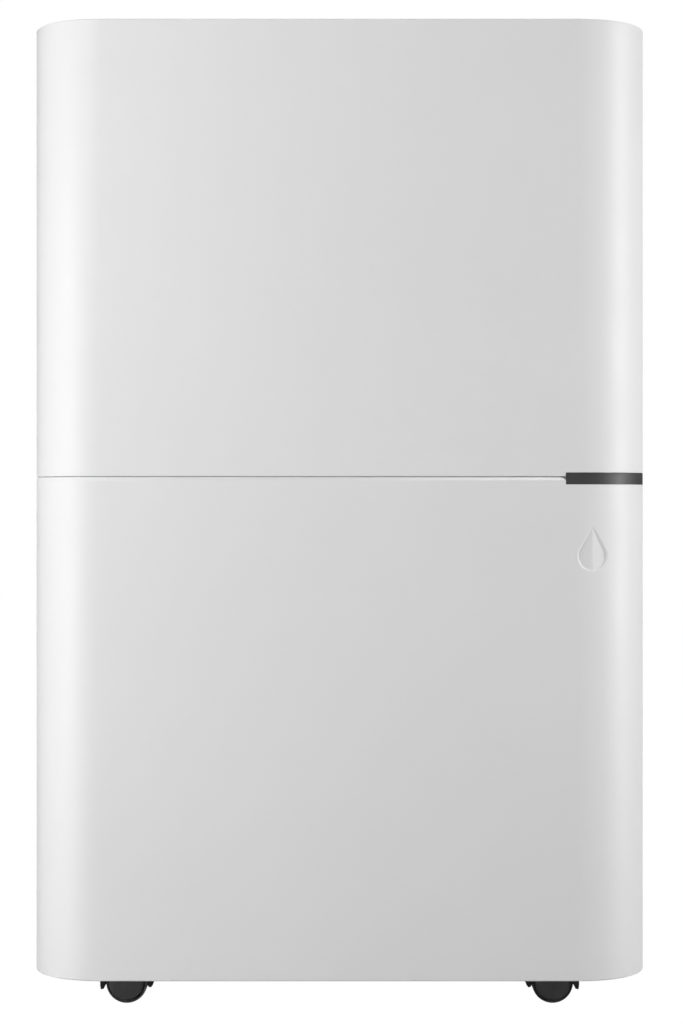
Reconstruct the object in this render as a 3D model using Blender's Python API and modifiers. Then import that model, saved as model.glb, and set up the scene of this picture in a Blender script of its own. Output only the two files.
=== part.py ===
"""Portable compressor dehumidifier with a pull-out front bucket, on four swivel casters.

The cabinet is a rounded upright box. Its upper front is a fixed cover and its lower front
is the face of the water bucket. Air enters through a grille and filter at the back, crosses
the evaporator and the condenser, and a centrifugal fan blows it out of a flap in the top.
"""

import math

import bmesh
import bpy
from mathutils import Matrix, Vector

# Driving dimensions, in metres. +Z is up, the front faces -Y, and the origin is on the
# floor below the middle of the cabinet.
WIDTH = 0.386
DEPTH = 0.270
BODY_BOTTOM = 0.026
BODY_TOP = 0.622
WALL = 0.0025
FRONT_RADIUS = 0.045
REAR_RADIUS = 0.030
GAP = 0.0005
SHELL_TOP = BODY_TOP - GAP
SPLIT_Y = -0.090
SEAM_Z = 0.3383
ARC_STEP = math.radians(10)
COARSE_STEP = math.radians(30)

HALF_WIDTH = WIDTH / 2
FRONT_Y = -DEPTH / 2
BACK_Y = DEPTH / 2

PAN_BOTTOM = 0.034
PAN_FLOOR = 0.0365
PAN_TOP = 0.050
RAIL_WIDTH = 0.008
BAY_WIDTH = 0.365
BAY_BACK = 0.0065
BAY_CEILING = 0.336
BAY_ROOF = 0.3385

LENS_START = 0.140
LENS_BOTTOM = 0.3335
LENS_TOP = 0.3407
LENS_THICK = 0.003
LENS_GAP = 0.0003
MARK_X = 0.1565
MARK_Z = 0.2887
MARK_TIP = 0.3072
MARK_RADIUS = 0.0090
MARK_DEPTH = 0.0006

TANK_BOTTOM = 0.056
TANK_TOP = 0.262
TANK_HALF_WIDTH = 0.168
TANK_FRONT = FRONT_Y + WALL + GAP
TANK_BACK = -0.004
HANDLE_Y = -0.068
HANDLE_Z = 0.2725
HANDLE_REACH = 0.052
HANDLE_PIVOT_X = 0.158
FLOAT_Y = -0.090
FLOAT_Z = 0.243
FLOAT_X = 0.102

SPOUT_Y = -0.030
SWITCH_X = 0.110
SWITCH_Y = -0.060

FAN_Z = 0.468
FAN_RADIUS = 0.083
VOLUTE_FRONT = -0.040
VOLUTE_REAR = 0.0465
VOLUTE_TOP = 0.5975
THROAT_HALF = 0.118

COIL_HALF = 0.140
COIL_BOTTOM = 0.374
COIL_TOP = 0.584
CONDENSER_Y = (0.052, 0.076)
EVAPORATOR_Y = (0.084, 0.108)

COMPRESSOR = (0.060, 0.071)
COMPRESSOR_RADIUS = 0.046
ACCUMULATOR = (0.130, 0.075)
FOOT_CIRCLE = 0.050

GRILLE_HALF = 0.150
GRILLE_BOTTOM = 0.385
GRILLE_TOP = 0.585
GRILLE_RADIUS = 0.0055
GRILLE_ROWS = 10
GRILLE_PITCH = 0.0180
DRAIN_X = -0.130
DRAIN_Z = 0.352
DRAIN_FLOOR = 0.1130
GLAND_X = 0.140
GLAND_Z = 0.085
GRIP_Y = (-0.060, 0.040)
GRIP_Z = (0.504, 0.536)
GRIP_DEPTH = 0.022
GRIP_RADIUS = 0.012
SCOOP_DEPTH = 0.014
SCOOP_Z = (0.170, 0.250)

PANEL_HALF = 0.100
PANEL_Y = (-0.112, -0.062)
PANEL_Z = (0.6185, 0.6213)
BUTTON_Y = -0.087
BUTTON_XS = {
    "timer_button": -0.086,
    "fan_speed_button": -0.064,
    "humidity_down_button": -0.042,
    "humidity_up_button": 0.042,
    "mode_button": 0.064,
    "power_button": 0.086,
}
BUTTON_RADIUS = 0.0065
VENT_HALF = 0.124
VENT_Y = (-0.041, 0.047)
VENT_LIP = 0.0045
FLAP_AXIS = (0.038, 0.618)

CASTER_X = 0.144
CASTER_YS = {"front": -0.068, "rear": 0.080}
CASTER_TRAIL = 0.007
WHEEL_RADIUS = 0.01325
STEM_RADIUS = 0.004

MODEL = bpy.data.collections.new("dehumidifier")
CUTTERS = bpy.data.collections.new("cutters")

# Joined shapes with many holes, whose union needs the slower self-intersection pass.
SLOTTED = ("grille_rim", "outlet_fins")


# ---- Shape tools ----------------------------------------------------------------------


def start_scene():
    for old in list(bpy.data.objects):
        bpy.data.objects.remove(old)
    bpy.context.scene.collection.children.link(MODEL)
    bpy.context.scene.collection.children.link(CUTTERS)


def finish(name, colour, roughness, metallic=0.0):
    """A plain material for one piece."""
    material = bpy.data.materials.new(name)
    material.use_nodes = True
    shader = material.node_tree.nodes["Principled BSDF"]
    shader.inputs["Base Color"].default_value = (*colour, 1)
    shader.inputs["Roughness"].default_value = roughness
    shader.inputs["Metallic"].default_value = metallic
    return material


WHITE = finish("white_plastic", (0.80, 0.80, 0.79), 0.35)
BLACK = finish("black_plastic", (0.02, 0.02, 0.02), 0.45)
GREY = finish("grey_plastic", (0.30, 0.31, 0.32), 0.5)
SMOKE = finish("smoked_lens", (0.05, 0.05, 0.055), 0.25)
CLEAR = finish("bucket_plastic", (0.75, 0.78, 0.80), 0.3)
RUBBER = finish("rubber", (0.02, 0.02, 0.02), 0.8)
STEEL = finish("steel", (0.55, 0.55, 0.56), 0.35, 1.0)
PAINTED = finish("black_paint", (0.02, 0.02, 0.022), 0.4)
FINS = finish("aluminium_fins", (0.80, 0.81, 0.82), 0.35, 1.0)
COPPER = finish("copper", (0.72, 0.38, 0.22), 0.3, 1.0)
BOARD = finish("circuit_board", (0.02, 0.16, 0.06), 0.5)


def keep(obj, material):
    """Puts a finished piece in the model with its material."""
    MODEL.objects.link(obj)
    obj.data.materials.clear()
    obj.data.materials.append(material)
    obj.data.shade_smooth()
    obj.data.set_sharp_from_angle(angle=math.radians(35))
    return obj


def hide(obj):
    """Puts a cutter, or a shape that is joined to a piece, out of the model."""
    CUTTERS.objects.link(obj)
    obj.hide_render = True
    obj.display_type = "WIRE"
    return obj


def combine(obj, other, operation):
    modifier = obj.modifiers.new(operation.title(), "BOOLEAN")
    modifier.operation = operation
    modifier.solver = "EXACT"
    modifier.object = hide(other)
    modifier.use_self = operation == "UNION" and other.name.startswith(SLOTTED)
    return obj


def cut(obj, *others):
    for other in others:
        combine(obj, other, "DIFFERENCE")
    return obj


def join(obj, *others):
    for other in others:
        combine(obj, other, "UNION")
    return obj


def hinge_on(obj, point):
    """Moves a piece's origin to a point on its joint's axis, leaving its shape in place."""
    obj.data.transform(Matrix.Translation(-Vector(point)))
    obj.location = point
    return obj


def rounded(corners, step=ARC_STEP):
    """Points of a closed anticlockwise outline whose corners are (x, y, radius)."""
    points = []
    count = len(corners)
    for i, (x, y, radius) in enumerate(corners):
        here = Vector((x, y))
        before = (Vector(corners[i - 1][:2]) - here).normalized()
        after = (Vector(corners[(i + 1) % count][:2]) - here).normalized()
        if radius <= 0:
            points.append(here)
            continue
        half = before.angle(after) / 2
        centre = here + (before + after).normalized() * (radius / math.sin(half))
        start = here + before * (radius / math.tan(half)) - centre
        turn = math.pi - 2 * half
        steps = max(1, round(turn / step))
        for k in range(steps + 1):
            points.append(centre + Matrix.Rotation(turn * k / steps, 2) @ start)
    return [tuple(p) for p in points]


def rounded_box(x0, x1, y0, y1, radius=0.0, step=COARSE_STEP):
    corners = [(x0, y0, radius), (x1, y0, radius), (x1, y1, radius), (x0, y1, radius)]
    return rounded(corners, step)


def circle(x, y, radius, count=20):
    turns = [2 * math.pi * k / count for k in range(count)]
    return [(x + radius * math.cos(a), y + radius * math.sin(a)) for a in turns]


def cabinet_outline(inset):
    """The cabinet's plan, this far inside its outer faces."""
    half, front, back = HALF_WIDTH - inset, FRONT_Y + inset, BACK_Y - inset
    return rounded(
        [
            (-half, front, FRONT_RADIUS - inset),
            (half, front, FRONT_RADIUS - inset),
            (half, back, REAR_RADIUS - inset),
            (-half, back, REAR_RADIUS - inset),
        ]
    )


def front_path():
    """The plan of the front and both front corners, from left to right."""
    front = [(x, y) for x, y in cabinet_outline(0) if y < SPLIT_Y + GAP]
    return [(x, min(y, SPLIT_Y - GAP)) for x, y in front]


def rear_path():
    """The plan of both sides and the back, from the right front edge to the left one."""
    back = [(x, y) for x, y in cabinet_outline(0) if y > 0]
    return [(HALF_WIDTH, SPLIT_Y)] + back + [(-HALF_WIDTH, SPLIT_Y)]


FACINGS = {
    "Z": Matrix.Identity(4),
    "Y": Matrix(((1, 0, 0, 0), (0, 0, -1, 0), (0, 1, 0, 0), (0, 0, 0, 1))),
    "X": Matrix(((0, 0, 1, 0), (1, 0, 0, 0), (0, 1, 0, 0), (0, 0, 0, 1))),
}


def plate(name, outlines, low, high, facing="Z"):
    """A flat plate between two planes. The first outline is its edge, the others are holes.

    Outlines are (x, y) for a plate that faces Z, (x, z) for Y and (y, z) for X.
    """
    curve = bpy.data.curves.new(name, "CURVE")
    curve.dimensions = "2D"
    curve.fill_mode = "BOTH"
    curve.extrude = (high - low) / 2
    for outline in outlines:
        spline = curve.splines.new("POLY")
        spline.points.add(len(outline) - 1)
        for point, (x, y) in zip(spline.points, outline):
            point.co = (x, y, 0, 1)
        spline.use_cyclic_u = True
    middle = (low + high) / 2
    offset = -middle if facing == "Y" else middle
    return solid_from_curve(name, curve, FACINGS[facing] @ Matrix.Translation((0, 0, offset)))


def solid_from_curve(name, curve, matrix):
    """A mesh object made from a filled or bevelled curve, with its caps welded on."""
    guide = bpy.data.objects.new(name, curve)
    bpy.context.scene.collection.objects.link(guide)
    graph = bpy.context.evaluated_depsgraph_get()
    mesh = bpy.data.meshes.new_from_object(guide.evaluated_get(graph))
    bpy.data.objects.remove(guide)
    bpy.data.curves.remove(curve)
    work = bmesh.new()
    work.from_mesh(mesh)
    bmesh.ops.remove_doubles(work, verts=work.verts, dist=1e-6)
    bmesh.ops.recalc_face_normals(work, faces=work.faces)
    bmesh.ops.transform(work, matrix=matrix, verts=work.verts)
    work.to_mesh(mesh)
    work.free()
    mesh.name = name
    return bpy.data.objects.new(name, mesh)


def tube(name, points, radius, sides=2):
    """A round bar or pipe along a line of points."""
    curve = bpy.data.curves.new(name, "CURVE")
    curve.dimensions = "3D"
    curve.bevel_depth = radius
    curve.bevel_resolution = sides
    curve.use_fill_caps = True
    spline = curve.splines.new("POLY")
    spline.points.add(len(points) - 1)
    for point, place in zip(spline.points, points):
        point.co = (*place, 1)
    return solid_from_curve(name, curve, Matrix.Identity(4))


def bent(corners, radius, steps=4):
    """A route through the corners, with an arc of this radius at each inner one."""
    points = [Vector(corners[0])]
    for before, here, after in zip(corners, corners[1:], corners[2:]):
        here = Vector(here)
        back = (Vector(before) - here).normalized()
        ahead = (Vector(after) - here).normalized()
        half = back.angle(ahead) / 2
        centre = here + (back + ahead).normalized() * (radius / math.sin(half))
        start = here + back * (radius / math.tan(half)) - centre
        axis = back.cross(ahead)
        turn = -(math.pi - 2 * half)
        for k in range(steps + 1):
            points.append(centre + Matrix.Rotation(turn * k / steps, 3, axis) @ start)
    points.append(Vector(corners[-1]))
    return points


def block(name, low, high, bevel=0.0):
    """A box between two corners, with rounded edges if a bevel is given."""
    low, high = Vector(low), Vector(high)
    work = bmesh.new()
    size = Matrix.Diagonal((*(high - low), 1))
    bmesh.ops.create_cube(work, size=1, matrix=Matrix.Translation((low + high) / 2) @ size)
    mesh = bpy.data.meshes.new(name)
    work.to_mesh(mesh)
    work.free()
    obj = bpy.data.objects.new(name, mesh)
    if bevel:
        rounding = obj.modifiers.new("Bevel", "BEVEL")
        rounding.width = bevel
        rounding.segments = 2
    return obj


def blocks(name, boxes):
    """Several boxes that don't touch, in one object, for cutting or joining together."""
    work = bmesh.new()
    for low, high in boxes:
        low, high = Vector(low), Vector(high)
        size = Matrix.Diagonal((*(high - low), 1))
        bmesh.ops.create_cube(work, size=1, matrix=Matrix.Translation((low + high) / 2) @ size)
    mesh = bpy.data.meshes.new(name)
    work.to_mesh(mesh)
    work.free()
    return bpy.data.objects.new(name, mesh)


def turned(name, profile, centre=(0, 0, 0), axis="Z", ring=False, steps=20):
    """A turned piece. The profile is (radius, height along the axis), closed for a ring."""
    area = sum(a[0] * b[1] - b[0] * a[1] for a, b in zip(profile, profile[1:] + profile[:1]))
    points = profile if area < 0 else profile[::-1]
    edges = [(i, i + 1) for i in range(len(points) - 1)]
    if ring:
        edges.append((len(points) - 1, 0))
    mesh = bpy.data.meshes.new(name)
    mesh.from_pydata([(r, 0, h) for r, h in points], edges, [])
    obj = bpy.data.objects.new(name, mesh)
    obj.location = centre
    if axis == "Y":
        obj.rotation_euler = (-math.pi / 2, 0, 0)
    if axis == "X":
        obj.rotation_euler = (0, math.pi / 2, 0)
    screw = obj.modifiers.new("Turn", "SCREW")
    screw.axis = "Z"
    screw.steps = steps
    screw.render_steps = steps
    screw.use_merge_vertices = True
    screw.merge_threshold = 1e-5
    return obj


def rod(name, start, end, radius, steps=16):
    """A solid cylinder between two points that lie along one axis."""
    start, end = Vector(start), Vector(end)
    along = end - start
    axis = "XYZ"[max(range(3), key=lambda i: abs(along[i]))]
    length = along.length
    profile = [(0, 0), (radius, 0), (radius, length), (0, length)]
    return turned(name, profile, start, axis, steps=steps)


def wall(name, path, bottom, top, thickness=WALL, closed=False):
    """A thin upright wall whose outer face follows an anticlockwise path in plan."""
    work = bmesh.new()
    lower = [work.verts.new((x, y, bottom)) for x, y in path]
    upper = [work.verts.new((x, y, top)) for x, y in path]
    count = len(path)
    for i in range(count if closed else count - 1):
        k = (i + 1) % count
        work.faces.new((lower[i], lower[k], upper[k], upper[i]))
    return thickened(name, work, thickness)


def basin(name, levels, thickness):
    """An open vessel from outlines at rising heights, the lowest one closed as its floor."""
    work = bmesh.new()
    rings = [[work.verts.new((x, y, z)) for x, y in outline] for z, outline in levels]
    work.faces.new(rings[0][::-1])
    for lower, upper in zip(rings, rings[1:]):
        count = len(lower)
        for i in range(count):
            k = (i + 1) % count
            work.faces.new((lower[i], lower[k], upper[k], upper[i]))
    return thickened(name, work, thickness)


def thickened(name, work, thickness):
    mesh = bpy.data.meshes.new(name)
    work.to_mesh(mesh)
    work.free()
    obj = bpy.data.objects.new(name, mesh)
    solidify = obj.modifiers.new("Solidify", "SOLIDIFY")
    solidify.thickness = thickness
    solidify.offset = -1
    solidify.use_even_offset = True
    return obj


# ---- Cabinet --------------------------------------------------------------------------


def base_pan():
    """The floor pan: a boss for each caster, and two rails that the bucket slides on."""
    outline = cabinet_outline(WALL + GAP)
    pan = basin("base_pan", [(PAN_BOTTOM, outline), (PAN_TOP, outline)], WALL)
    low, high = PAN_BOTTOM + 0.0008, PAN_TOP + 0.002
    boss = [(0, low), (0.009, low), (0.009, high), (0, high)]
    for side in (-1, 1):
        for y in CASTER_YS.values():
            x = side * CASTER_X
            join(pan, turned("pan_boss", boss, (x, y, 0), steps=12))
            bore = rod("stem_bore", (x, y, 0.030), (x, y, 0.056), STEM_RADIUS + GAP, 10)
            cut(pan, bore)
    low, high = PAN_FLOOR - GAP, TANK_BOTTOM - 0.001
    rails = [((x, -0.122, low), (x + RAIL_WIDTH, 0, high)) for x in (-0.104, 0.096)]
    keep(join(pan, blocks("pan_rails", rails)), BLACK)


def rear_housing():
    shell = wall("rear_housing", rear_path(), BODY_BOTTOM, SHELL_TOP)
    grille = rounded_box(
        -GRILLE_HALF - GAP, GRILLE_HALF + GAP, GRILLE_BOTTOM - GAP, GRILLE_TOP + GAP, 0.006
    )
    holes = [
        plate("grille_hole", [grille], 0.125, 0.140, "Y"),
        plate("drain_hole", [circle(DRAIN_X, DRAIN_Z, 0.017, 24)], 0.125, 0.140, "Y"),
        plate("gland_hole", [circle(GLAND_X, GLAND_Z, 0.0074, 16)], 0.125, 0.140, "Y"),
    ]
    grip = rounded_box(
        GRIP_Y[0] - GAP, GRIP_Y[1] + GAP, GRIP_Z[0] - GAP, GRIP_Z[1] + GAP, GRIP_RADIUS
    )
    holes.append(plate("grip_holes", [grip], -0.2, 0.2, "X"))
    scoop = rounded_box(SPLIT_Y - 0.02, SPLIT_Y + SCOOP_DEPTH, *SCOOP_Z, 0.010)
    holes.append(plate("scoop_holes", [scoop], -0.2, 0.2, "X"))
    keep(cut(shell, *holes), WHITE)


def front_cover():
    shell = wall("front_cover", front_path(), SEAM_Z + 4e-4, SHELL_TOP)
    corner = (LENS_START - LENS_GAP, -0.14, 0.330)
    notch = block("cover_notch", corner, (0.2, -0.08, LENS_TOP + LENS_GAP))
    keep(cut(shell, notch), WHITE)


def top_cover():
    panel = rounded_box(
        -PANEL_HALF - GAP, PANEL_HALF + GAP, PANEL_Y[0] - GAP, PANEL_Y[1] + GAP, 0.006
    )
    vent = rounded_box(
        -VENT_HALF - GAP, VENT_HALF + GAP, VENT_Y[0] - GAP, VENT_Y[1] + GAP, 0.006
    )
    lid = plate("top_cover", [cabinet_outline(WALL + 4e-4), panel, vent], 0.6175, BODY_TOP)
    keep(lid, WHITE)


def side_grips():
    """A moulded finger cup in each side wall, open outwards."""
    thick = 0.002
    (y0, y1), (z0, z1) = GRIP_Y, GRIP_Z
    outline = rounded_box(y0, y1, z0, z1, GRIP_RADIUS)
    inner = rounded_box(y0 + thick, y1 - thick, z0 + thick, z1 - thick, GRIP_RADIUS - thick)
    back = HALF_WIDTH - GRIP_DEPTH
    for side, name in ((-1, "side_grip_left"), (1, "side_grip_right")):
        cup = plate(name, [outline], *sorted((side * back, side * HALF_WIDTH)), "X")
        hollow = sorted((side * (back + thick), side * (HALF_WIDTH + 0.01)))
        keep(cut(cup, plate("grip_hollow", [inner], *hollow, "X")), WHITE)


def bucket_bay():
    """The moulded partition round the bucket: a back wall, two side walls and a roof."""
    half = BAY_WIDTH / 2
    roof_outline = rounded(
        [(-half, -0.1315, 0.040), (half, -0.1315, 0.040), (half, BAY_BACK, 0), (-half, BAY_BACK, 0)]
    )
    spout = circle(0, SPOUT_Y, 0.0075, 16)
    lever = rounded_box(SWITCH_X - 0.004, SWITCH_X + 0.004, SWITCH_Y - 0.0035, SWITCH_Y + 0.0035)
    bay = plate("bucket_bay", [roof_outline, spout, lever], BAY_CEILING, BAY_ROOF)
    path = [(half, -0.088), (half, BAY_BACK), (-half, BAY_BACK), (-half, -0.088)]
    join(bay, wall("bay_walls", path, PAN_FLOOR + GAP, BAY_CEILING + 5e-4))
    keep(bay, GREY)


def status_lens():
    """The smoked strip round the right front corner, over the seam."""
    corner = [p for p in front_path() if p[0] > LENS_START]
    lens = wall("status_lens", [(LENS_START, FRONT_Y)] + corner, LENS_BOTTOM, LENS_TOP, LENS_THICK)
    keep(lens, SMOKE)


def cord_gland():
    profile = [
        (0.0038, 0.1260), (0.0100, 0.1260), (0.0100, 0.1318),
        (0.0070, 0.1318), (0.0070, BACK_Y), (0.0038, BACK_Y),
    ]
    keep(turned("cord_gland", profile, (GLAND_X, 0, GLAND_Z), "Y", ring=True, steps=16), RUBBER)


# ---- Controls and air outlet in the top --------------------------------------------------


def control_panel():
    outline = rounded_box(-PANEL_HALF, PANEL_HALF, *PANEL_Y, 0.0055)
    window = rounded_box(-0.0245, 0.0245, BUTTON_Y - 0.0115, BUTTON_Y + 0.0115, 0.002)
    holes = [circle(x, BUTTON_Y, BUTTON_RADIUS + 4e-4, 14) for x in BUTTON_XS.values()]
    keep(plate("control_panel", [outline, window, *holes], *PANEL_Z), GREY)


def display_lens():
    """A smoked window over the display, held by a flange below the panel."""
    window = rounded_box(-0.024, 0.024, BUTTON_Y - 0.011, BUTTON_Y + 0.011, 0.002)
    lens = plate("display_lens", [window], 0.6170, 0.6212)
    low, high = (-0.0275, BUTTON_Y - 0.014, 0.6160), (0.0275, BUTTON_Y + 0.014, 0.6178)
    keep(join(lens, block("lens_flange", low, high)), SMOKE)


def buttons():
    """Round push buttons with a flange below the panel that stops them coming out."""
    radius = BUTTON_RADIUS
    profile = [
        (0, -0.0051), (0.0076, -0.0051), (0.0076, -0.0036), (radius, -0.0034),
        (radius, -0.0004), (radius - 4e-4, 0), (0, -0.0003),
    ]
    for name, x in BUTTON_XS.items():
        keep(turned(name, profile, (x, BUTTON_Y, 0.6214), steps=14), WHITE)


def display_board():
    board = block("display_board", (-0.096, -0.108, 0.6118), (0.096, -0.066, 0.6134))
    switches = [
        ((x - 0.003, BUTTON_Y - 0.003, 0.6132), (x + 0.003, BUTTON_Y + 0.003, 0.6142))
        for x in BUTTON_XS.values()
    ]
    keep(join(board, blocks("tact_switches", switches)), BOARD)


def outlet_frame():
    """The outlet's frame with fixed fins below the flap, and a bearing hole at each end."""
    outer = rounded_box(-VENT_HALF, VENT_HALF, *VENT_Y, 0.0055)
    x1, y0, y1 = VENT_HALF - VENT_LIP, VENT_Y[0] + VENT_LIP, VENT_Y[1] - VENT_LIP
    frame = plate("outlet_frame", [outer, rounded_box(-x1, x1, y0, y1, 0.002)], 0.614, 0.6213)
    pitch = 2 * x1 / 12
    cells = [
        rounded_box(-x1 + pitch * i + 0.0008, -x1 + pitch * (i + 1) - 0.0008, y0 + GAP, y1 - GAP)
        for i in range(12)
    ]
    inner = rounded_box(-VENT_HALF + GAP, VENT_HALF - GAP, VENT_Y[0] + GAP, VENT_Y[1] - GAP, 0.005)
    join(frame, plate("outlet_fins", [inner, *cells], 0.600, 0.6145))
    bearing = rod("flap_bearings", (-0.1222, *FLAP_AXIS), (0.1222, *FLAP_AXIS), 0.0018, 12)
    keep(cut(frame, bearing), WHITE)


def outlet_flap():
    flap = plate("outlet_flap", [rounded_box(-0.119, 0.119, -0.036, 0.0405, 0.002)], 0.6190, 0.6212)
    rib = [
        (0, -0.1215), (0.0015, -0.1215), (0.0015, -0.1185), (0.0019, -0.1185),
        (0.0019, 0.1185), (0.0015, 0.1185), (0.0015, 0.1215), (0, 0.1215),
    ]
    join(flap, turned("flap_rib", rib, (0, *FLAP_AXIS), "X", steps=12))
    keep(hinge_on(flap, (0, *FLAP_AXIS)), WHITE)


# ---- Back: grille, filter and drain --------------------------------------------------------


def rear_grille():
    """The louvred cover over the air inlet. It lifts off with the filter."""
    edge = rounded_box(-GRILLE_HALF, GRILLE_HALF, GRILLE_BOTTOM, GRILLE_TOP, GRILLE_RADIUS)
    columns = [(-0.138, -0.050), (-0.044, 0.044), (0.050, 0.138)]
    rows = [GRILLE_BOTTOM + 0.013 + GRILLE_PITCH * i for i in range(GRILLE_ROWS)]
    slots = [rounded_box(x0, x1, z, z + 0.0110) for z in rows for x0, x1 in columns]
    grille = plate("rear_grille", [edge, *slots], 0.1320, 0.1348, "Y")
    rims = []
    for inset in (GAP, 0.003):
        x, low, high = GRILLE_HALF - inset, GRILLE_BOTTOM + inset, GRILLE_TOP - inset
        rims.append(rounded_box(-x, x, low, high, GRILLE_RADIUS - inset))
    keep(join(grille, plate("grille_rim", rims, 0.1205, 0.1324, "Y")), WHITE)


def filter_screen():
    half, low, high = 0.146, 0.389, 0.581
    edge = rounded_box(-half, half, low, high, 0.003)
    screen = plate("filter_screen", [edge], 0.1140, 0.1150, "Y")
    wide, tall = (2 * half - 0.005) / 4, (high - low - 0.005) / 3
    cells = [
        rounded_box(
            -half + 0.005 + wide * i, -half + wide * (i + 1),
            low + 0.005 + tall * k, low + tall * (k + 1),
        )
        for i in range(4)
        for k in range(3)
    ]
    ribs_edge = rounded_box(-half + 2e-4, half - 2e-4, low + 2e-4, high - 2e-4, 0.003)
    join(screen, plate("filter_ribs", [ribs_edge, *cells], 0.1148, 0.1190, "Y"))
    keep(screen, GREY)


def drain():
    """The hose nipple in its round recess, and the push-on cap that closes it."""
    centre = (DRAIN_X, 0, DRAIN_Z)
    cup = [
        (0.0083, DRAIN_FLOOR), (0.0165, DRAIN_FLOOR), (0.0165, BACK_Y), (0.0148, BACK_Y),
        (0.0148, DRAIN_FLOOR + 0.003), (0.0083, DRAIN_FLOOR + 0.003),
    ]
    keep(turned("drain_recess", cup, centre, "Y", ring=True, steps=24), GREY)
    nipple = [(0.0055, 0.1124), (0.0080, 0.1124), (0.0080, 0.1305), (0.0055, 0.1305)]
    keep(turned("drain_spout", nipple, centre, "Y", ring=True, steps=16), GREY)
    cap = [
        (0, 0.1340), (0.0100, 0.1340), (0.0105, 0.1335), (0.0105, 0.1170),
        (0.0084, 0.1170), (0.0084, 0.1315), (0, 0.1315),
    ]
    keep(turned("drain_cap", cap, centre, "Y", steps=18), BLACK)


# ---- Bucket -----------------------------------------------------------------------------


def tank_outline(inset):
    half, front, back = TANK_HALF_WIDTH - inset, TANK_FRONT + inset, TANK_BACK - inset
    return rounded(
        [(-half, front, 0.034), (half, front, 0.034), (half, back, 0.015), (-half, back, 0.015)],
        math.radians(15),
    )


def bucket():
    levels = [
        (TANK_BOTTOM, tank_outline(0.009)),
        (TANK_BOTTOM + 0.004, tank_outline(0.005)),
        (TANK_TOP, tank_outline(0)),
    ]
    tank = basin("bucket", levels, WALL)
    lug = rounded(
        [
            (HANDLE_Y - 0.008, 0.256, 0), (HANDLE_Y + 0.008, 0.256, 0),
            (HANDLE_Y + 0.008, 0.280, 0.0079), (HANDLE_Y - 0.008, 0.280, 0.0079),
        ],
        COARSE_STEP,
    )
    hole = circle(HANDLE_Y, HANDLE_Z, 0.0028, 12)
    join(tank, plate("lug_right", [lug, hole], 0.1645, 0.1680, "X"))
    join(tank, plate("lug_left", [lug, hole], -0.1680, -0.1645, "X"))
    keep(tank, CLEAR)


def drop_outline():
    """A water drop in X and Z: a round bottom whose sides run straight up to a tip."""
    rise = MARK_TIP - MARK_Z
    lean = math.asin(MARK_RADIUS / rise)
    steps = 12
    start, turn = -lean, math.pi + 2 * lean
    angles = [-(start + turn * k / steps) for k in range(steps + 1)]
    round_part = [
        (MARK_X + MARK_RADIUS * math.cos(a), MARK_Z + MARK_RADIUS * math.sin(a)) for a in angles
    ]
    return [(MARK_X, MARK_TIP)] + round_part[::-1]


def bucket_front():
    """The face of the bucket, with the lens notch and a shallow water drop pressed in."""
    shell = wall("bucket_front", front_path(), BODY_BOTTOM, SEAM_Z - GAP)
    corner = (LENS_START - 0.002, -0.14, LENS_BOTTOM - 0.0008)
    notch = block("front_notch", corner, (0.2, -0.08, 0.345))
    path = [(x, y - 0.001) for x, y in front_path() if x > 0]
    mark = wall("drop_mark", [(0.1, path[0][1])] + path[:-1], 0.26, 0.32, MARK_DEPTH + 0.001)
    combine(mark, plate("drop_edge", [drop_outline()], -0.15, -0.10, "Y"), "INTERSECT")
    keep(cut(shell, notch, mark), WHITE)


def bucket_lid():
    """The lid that lies on the tank, with the water inlet and a corner to pour from."""
    step = math.radians(15)
    edge = rounded(
        [
            (-0.164, -0.129, 0.030), (0.164, -0.129, 0.030),
            (0.164, -0.007, 0.012), (-0.164, -0.007, 0.012),
        ],
        step,
    )
    inlet = rounded_box(-0.030, 0.030, -0.050, -0.014, 0.006)
    pour = rounded_box(-0.150, -0.095, -0.118, -0.090, 0.008)
    lid = plate("bucket_lid", [edge, inlet, pour], TANK_TOP + GAP, TANK_TOP + 0.003)
    half, top = 0.005, TANK_TOP + 0.0007
    lug = rounded_box(FLOAT_Y - half, FLOAT_Y + half, FLOAT_Z - half, top)
    hole = circle(FLOAT_Y, FLOAT_Z, 0.0023, 12)
    for x in (FLOAT_X - 0.017, FLOAT_X + 0.015):
        join(lid, plate("float_lug", [lug, hole], x, x + 0.002, "X"))
    keep(lid, CLEAR)


def bucket_handle():
    """A bail that lies back on the lid and swings up to carry the bucket."""
    x, y, z = HANDLE_PIVOT_X, HANDLE_Y + HANDLE_REACH, HANDLE_Z
    start = HANDLE_Y + 0.001
    corners = [(-x, start, z), (-x, y, z), (x, y, z), (x, start, z)]
    bail = tube("bucket_handle", bent(corners, 0.012), 0.004)
    eye = [
        (0, -0.0045), (0.0056, -0.0045), (0.0056, 0.0045),
        (0.0025, 0.0045), (0.0025, 0.0093), (0, 0.0093),
    ]
    for side in (-1, 1):
        profile = [(r, side * h) for r, h in eye]
        join(bail, turned("bail_eye", profile, (side * x, HANDLE_Y, z), "X", steps=14))
    keep(hinge_on(bail, (0, HANDLE_Y, z)), GREY)


def water_float():
    """A foam float hung from the lid on a short arm."""
    x, y, z = FLOAT_X, FLOAT_Y, FLOAT_Z
    body = block("float", (x - 0.020, -0.070, 0.200), (x + 0.020, -0.030, 0.230), 0.004)
    post = block("float_post", (x - 0.004, -0.054, 0.228), (x + 0.004, -0.046, z + 0.0015))
    arm = block("float_arm", (x - 0.006, y - 0.003, z - 0.0025), (x + 0.006, -0.045, z + 0.0025))
    pin = rod("float_pin", (x - 0.018, y, z), (x + 0.018, y, z), 0.0020, 12)
    join(body, post, arm, pin)
    keep(hinge_on(body, (x, y, z)), WHITE)


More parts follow.
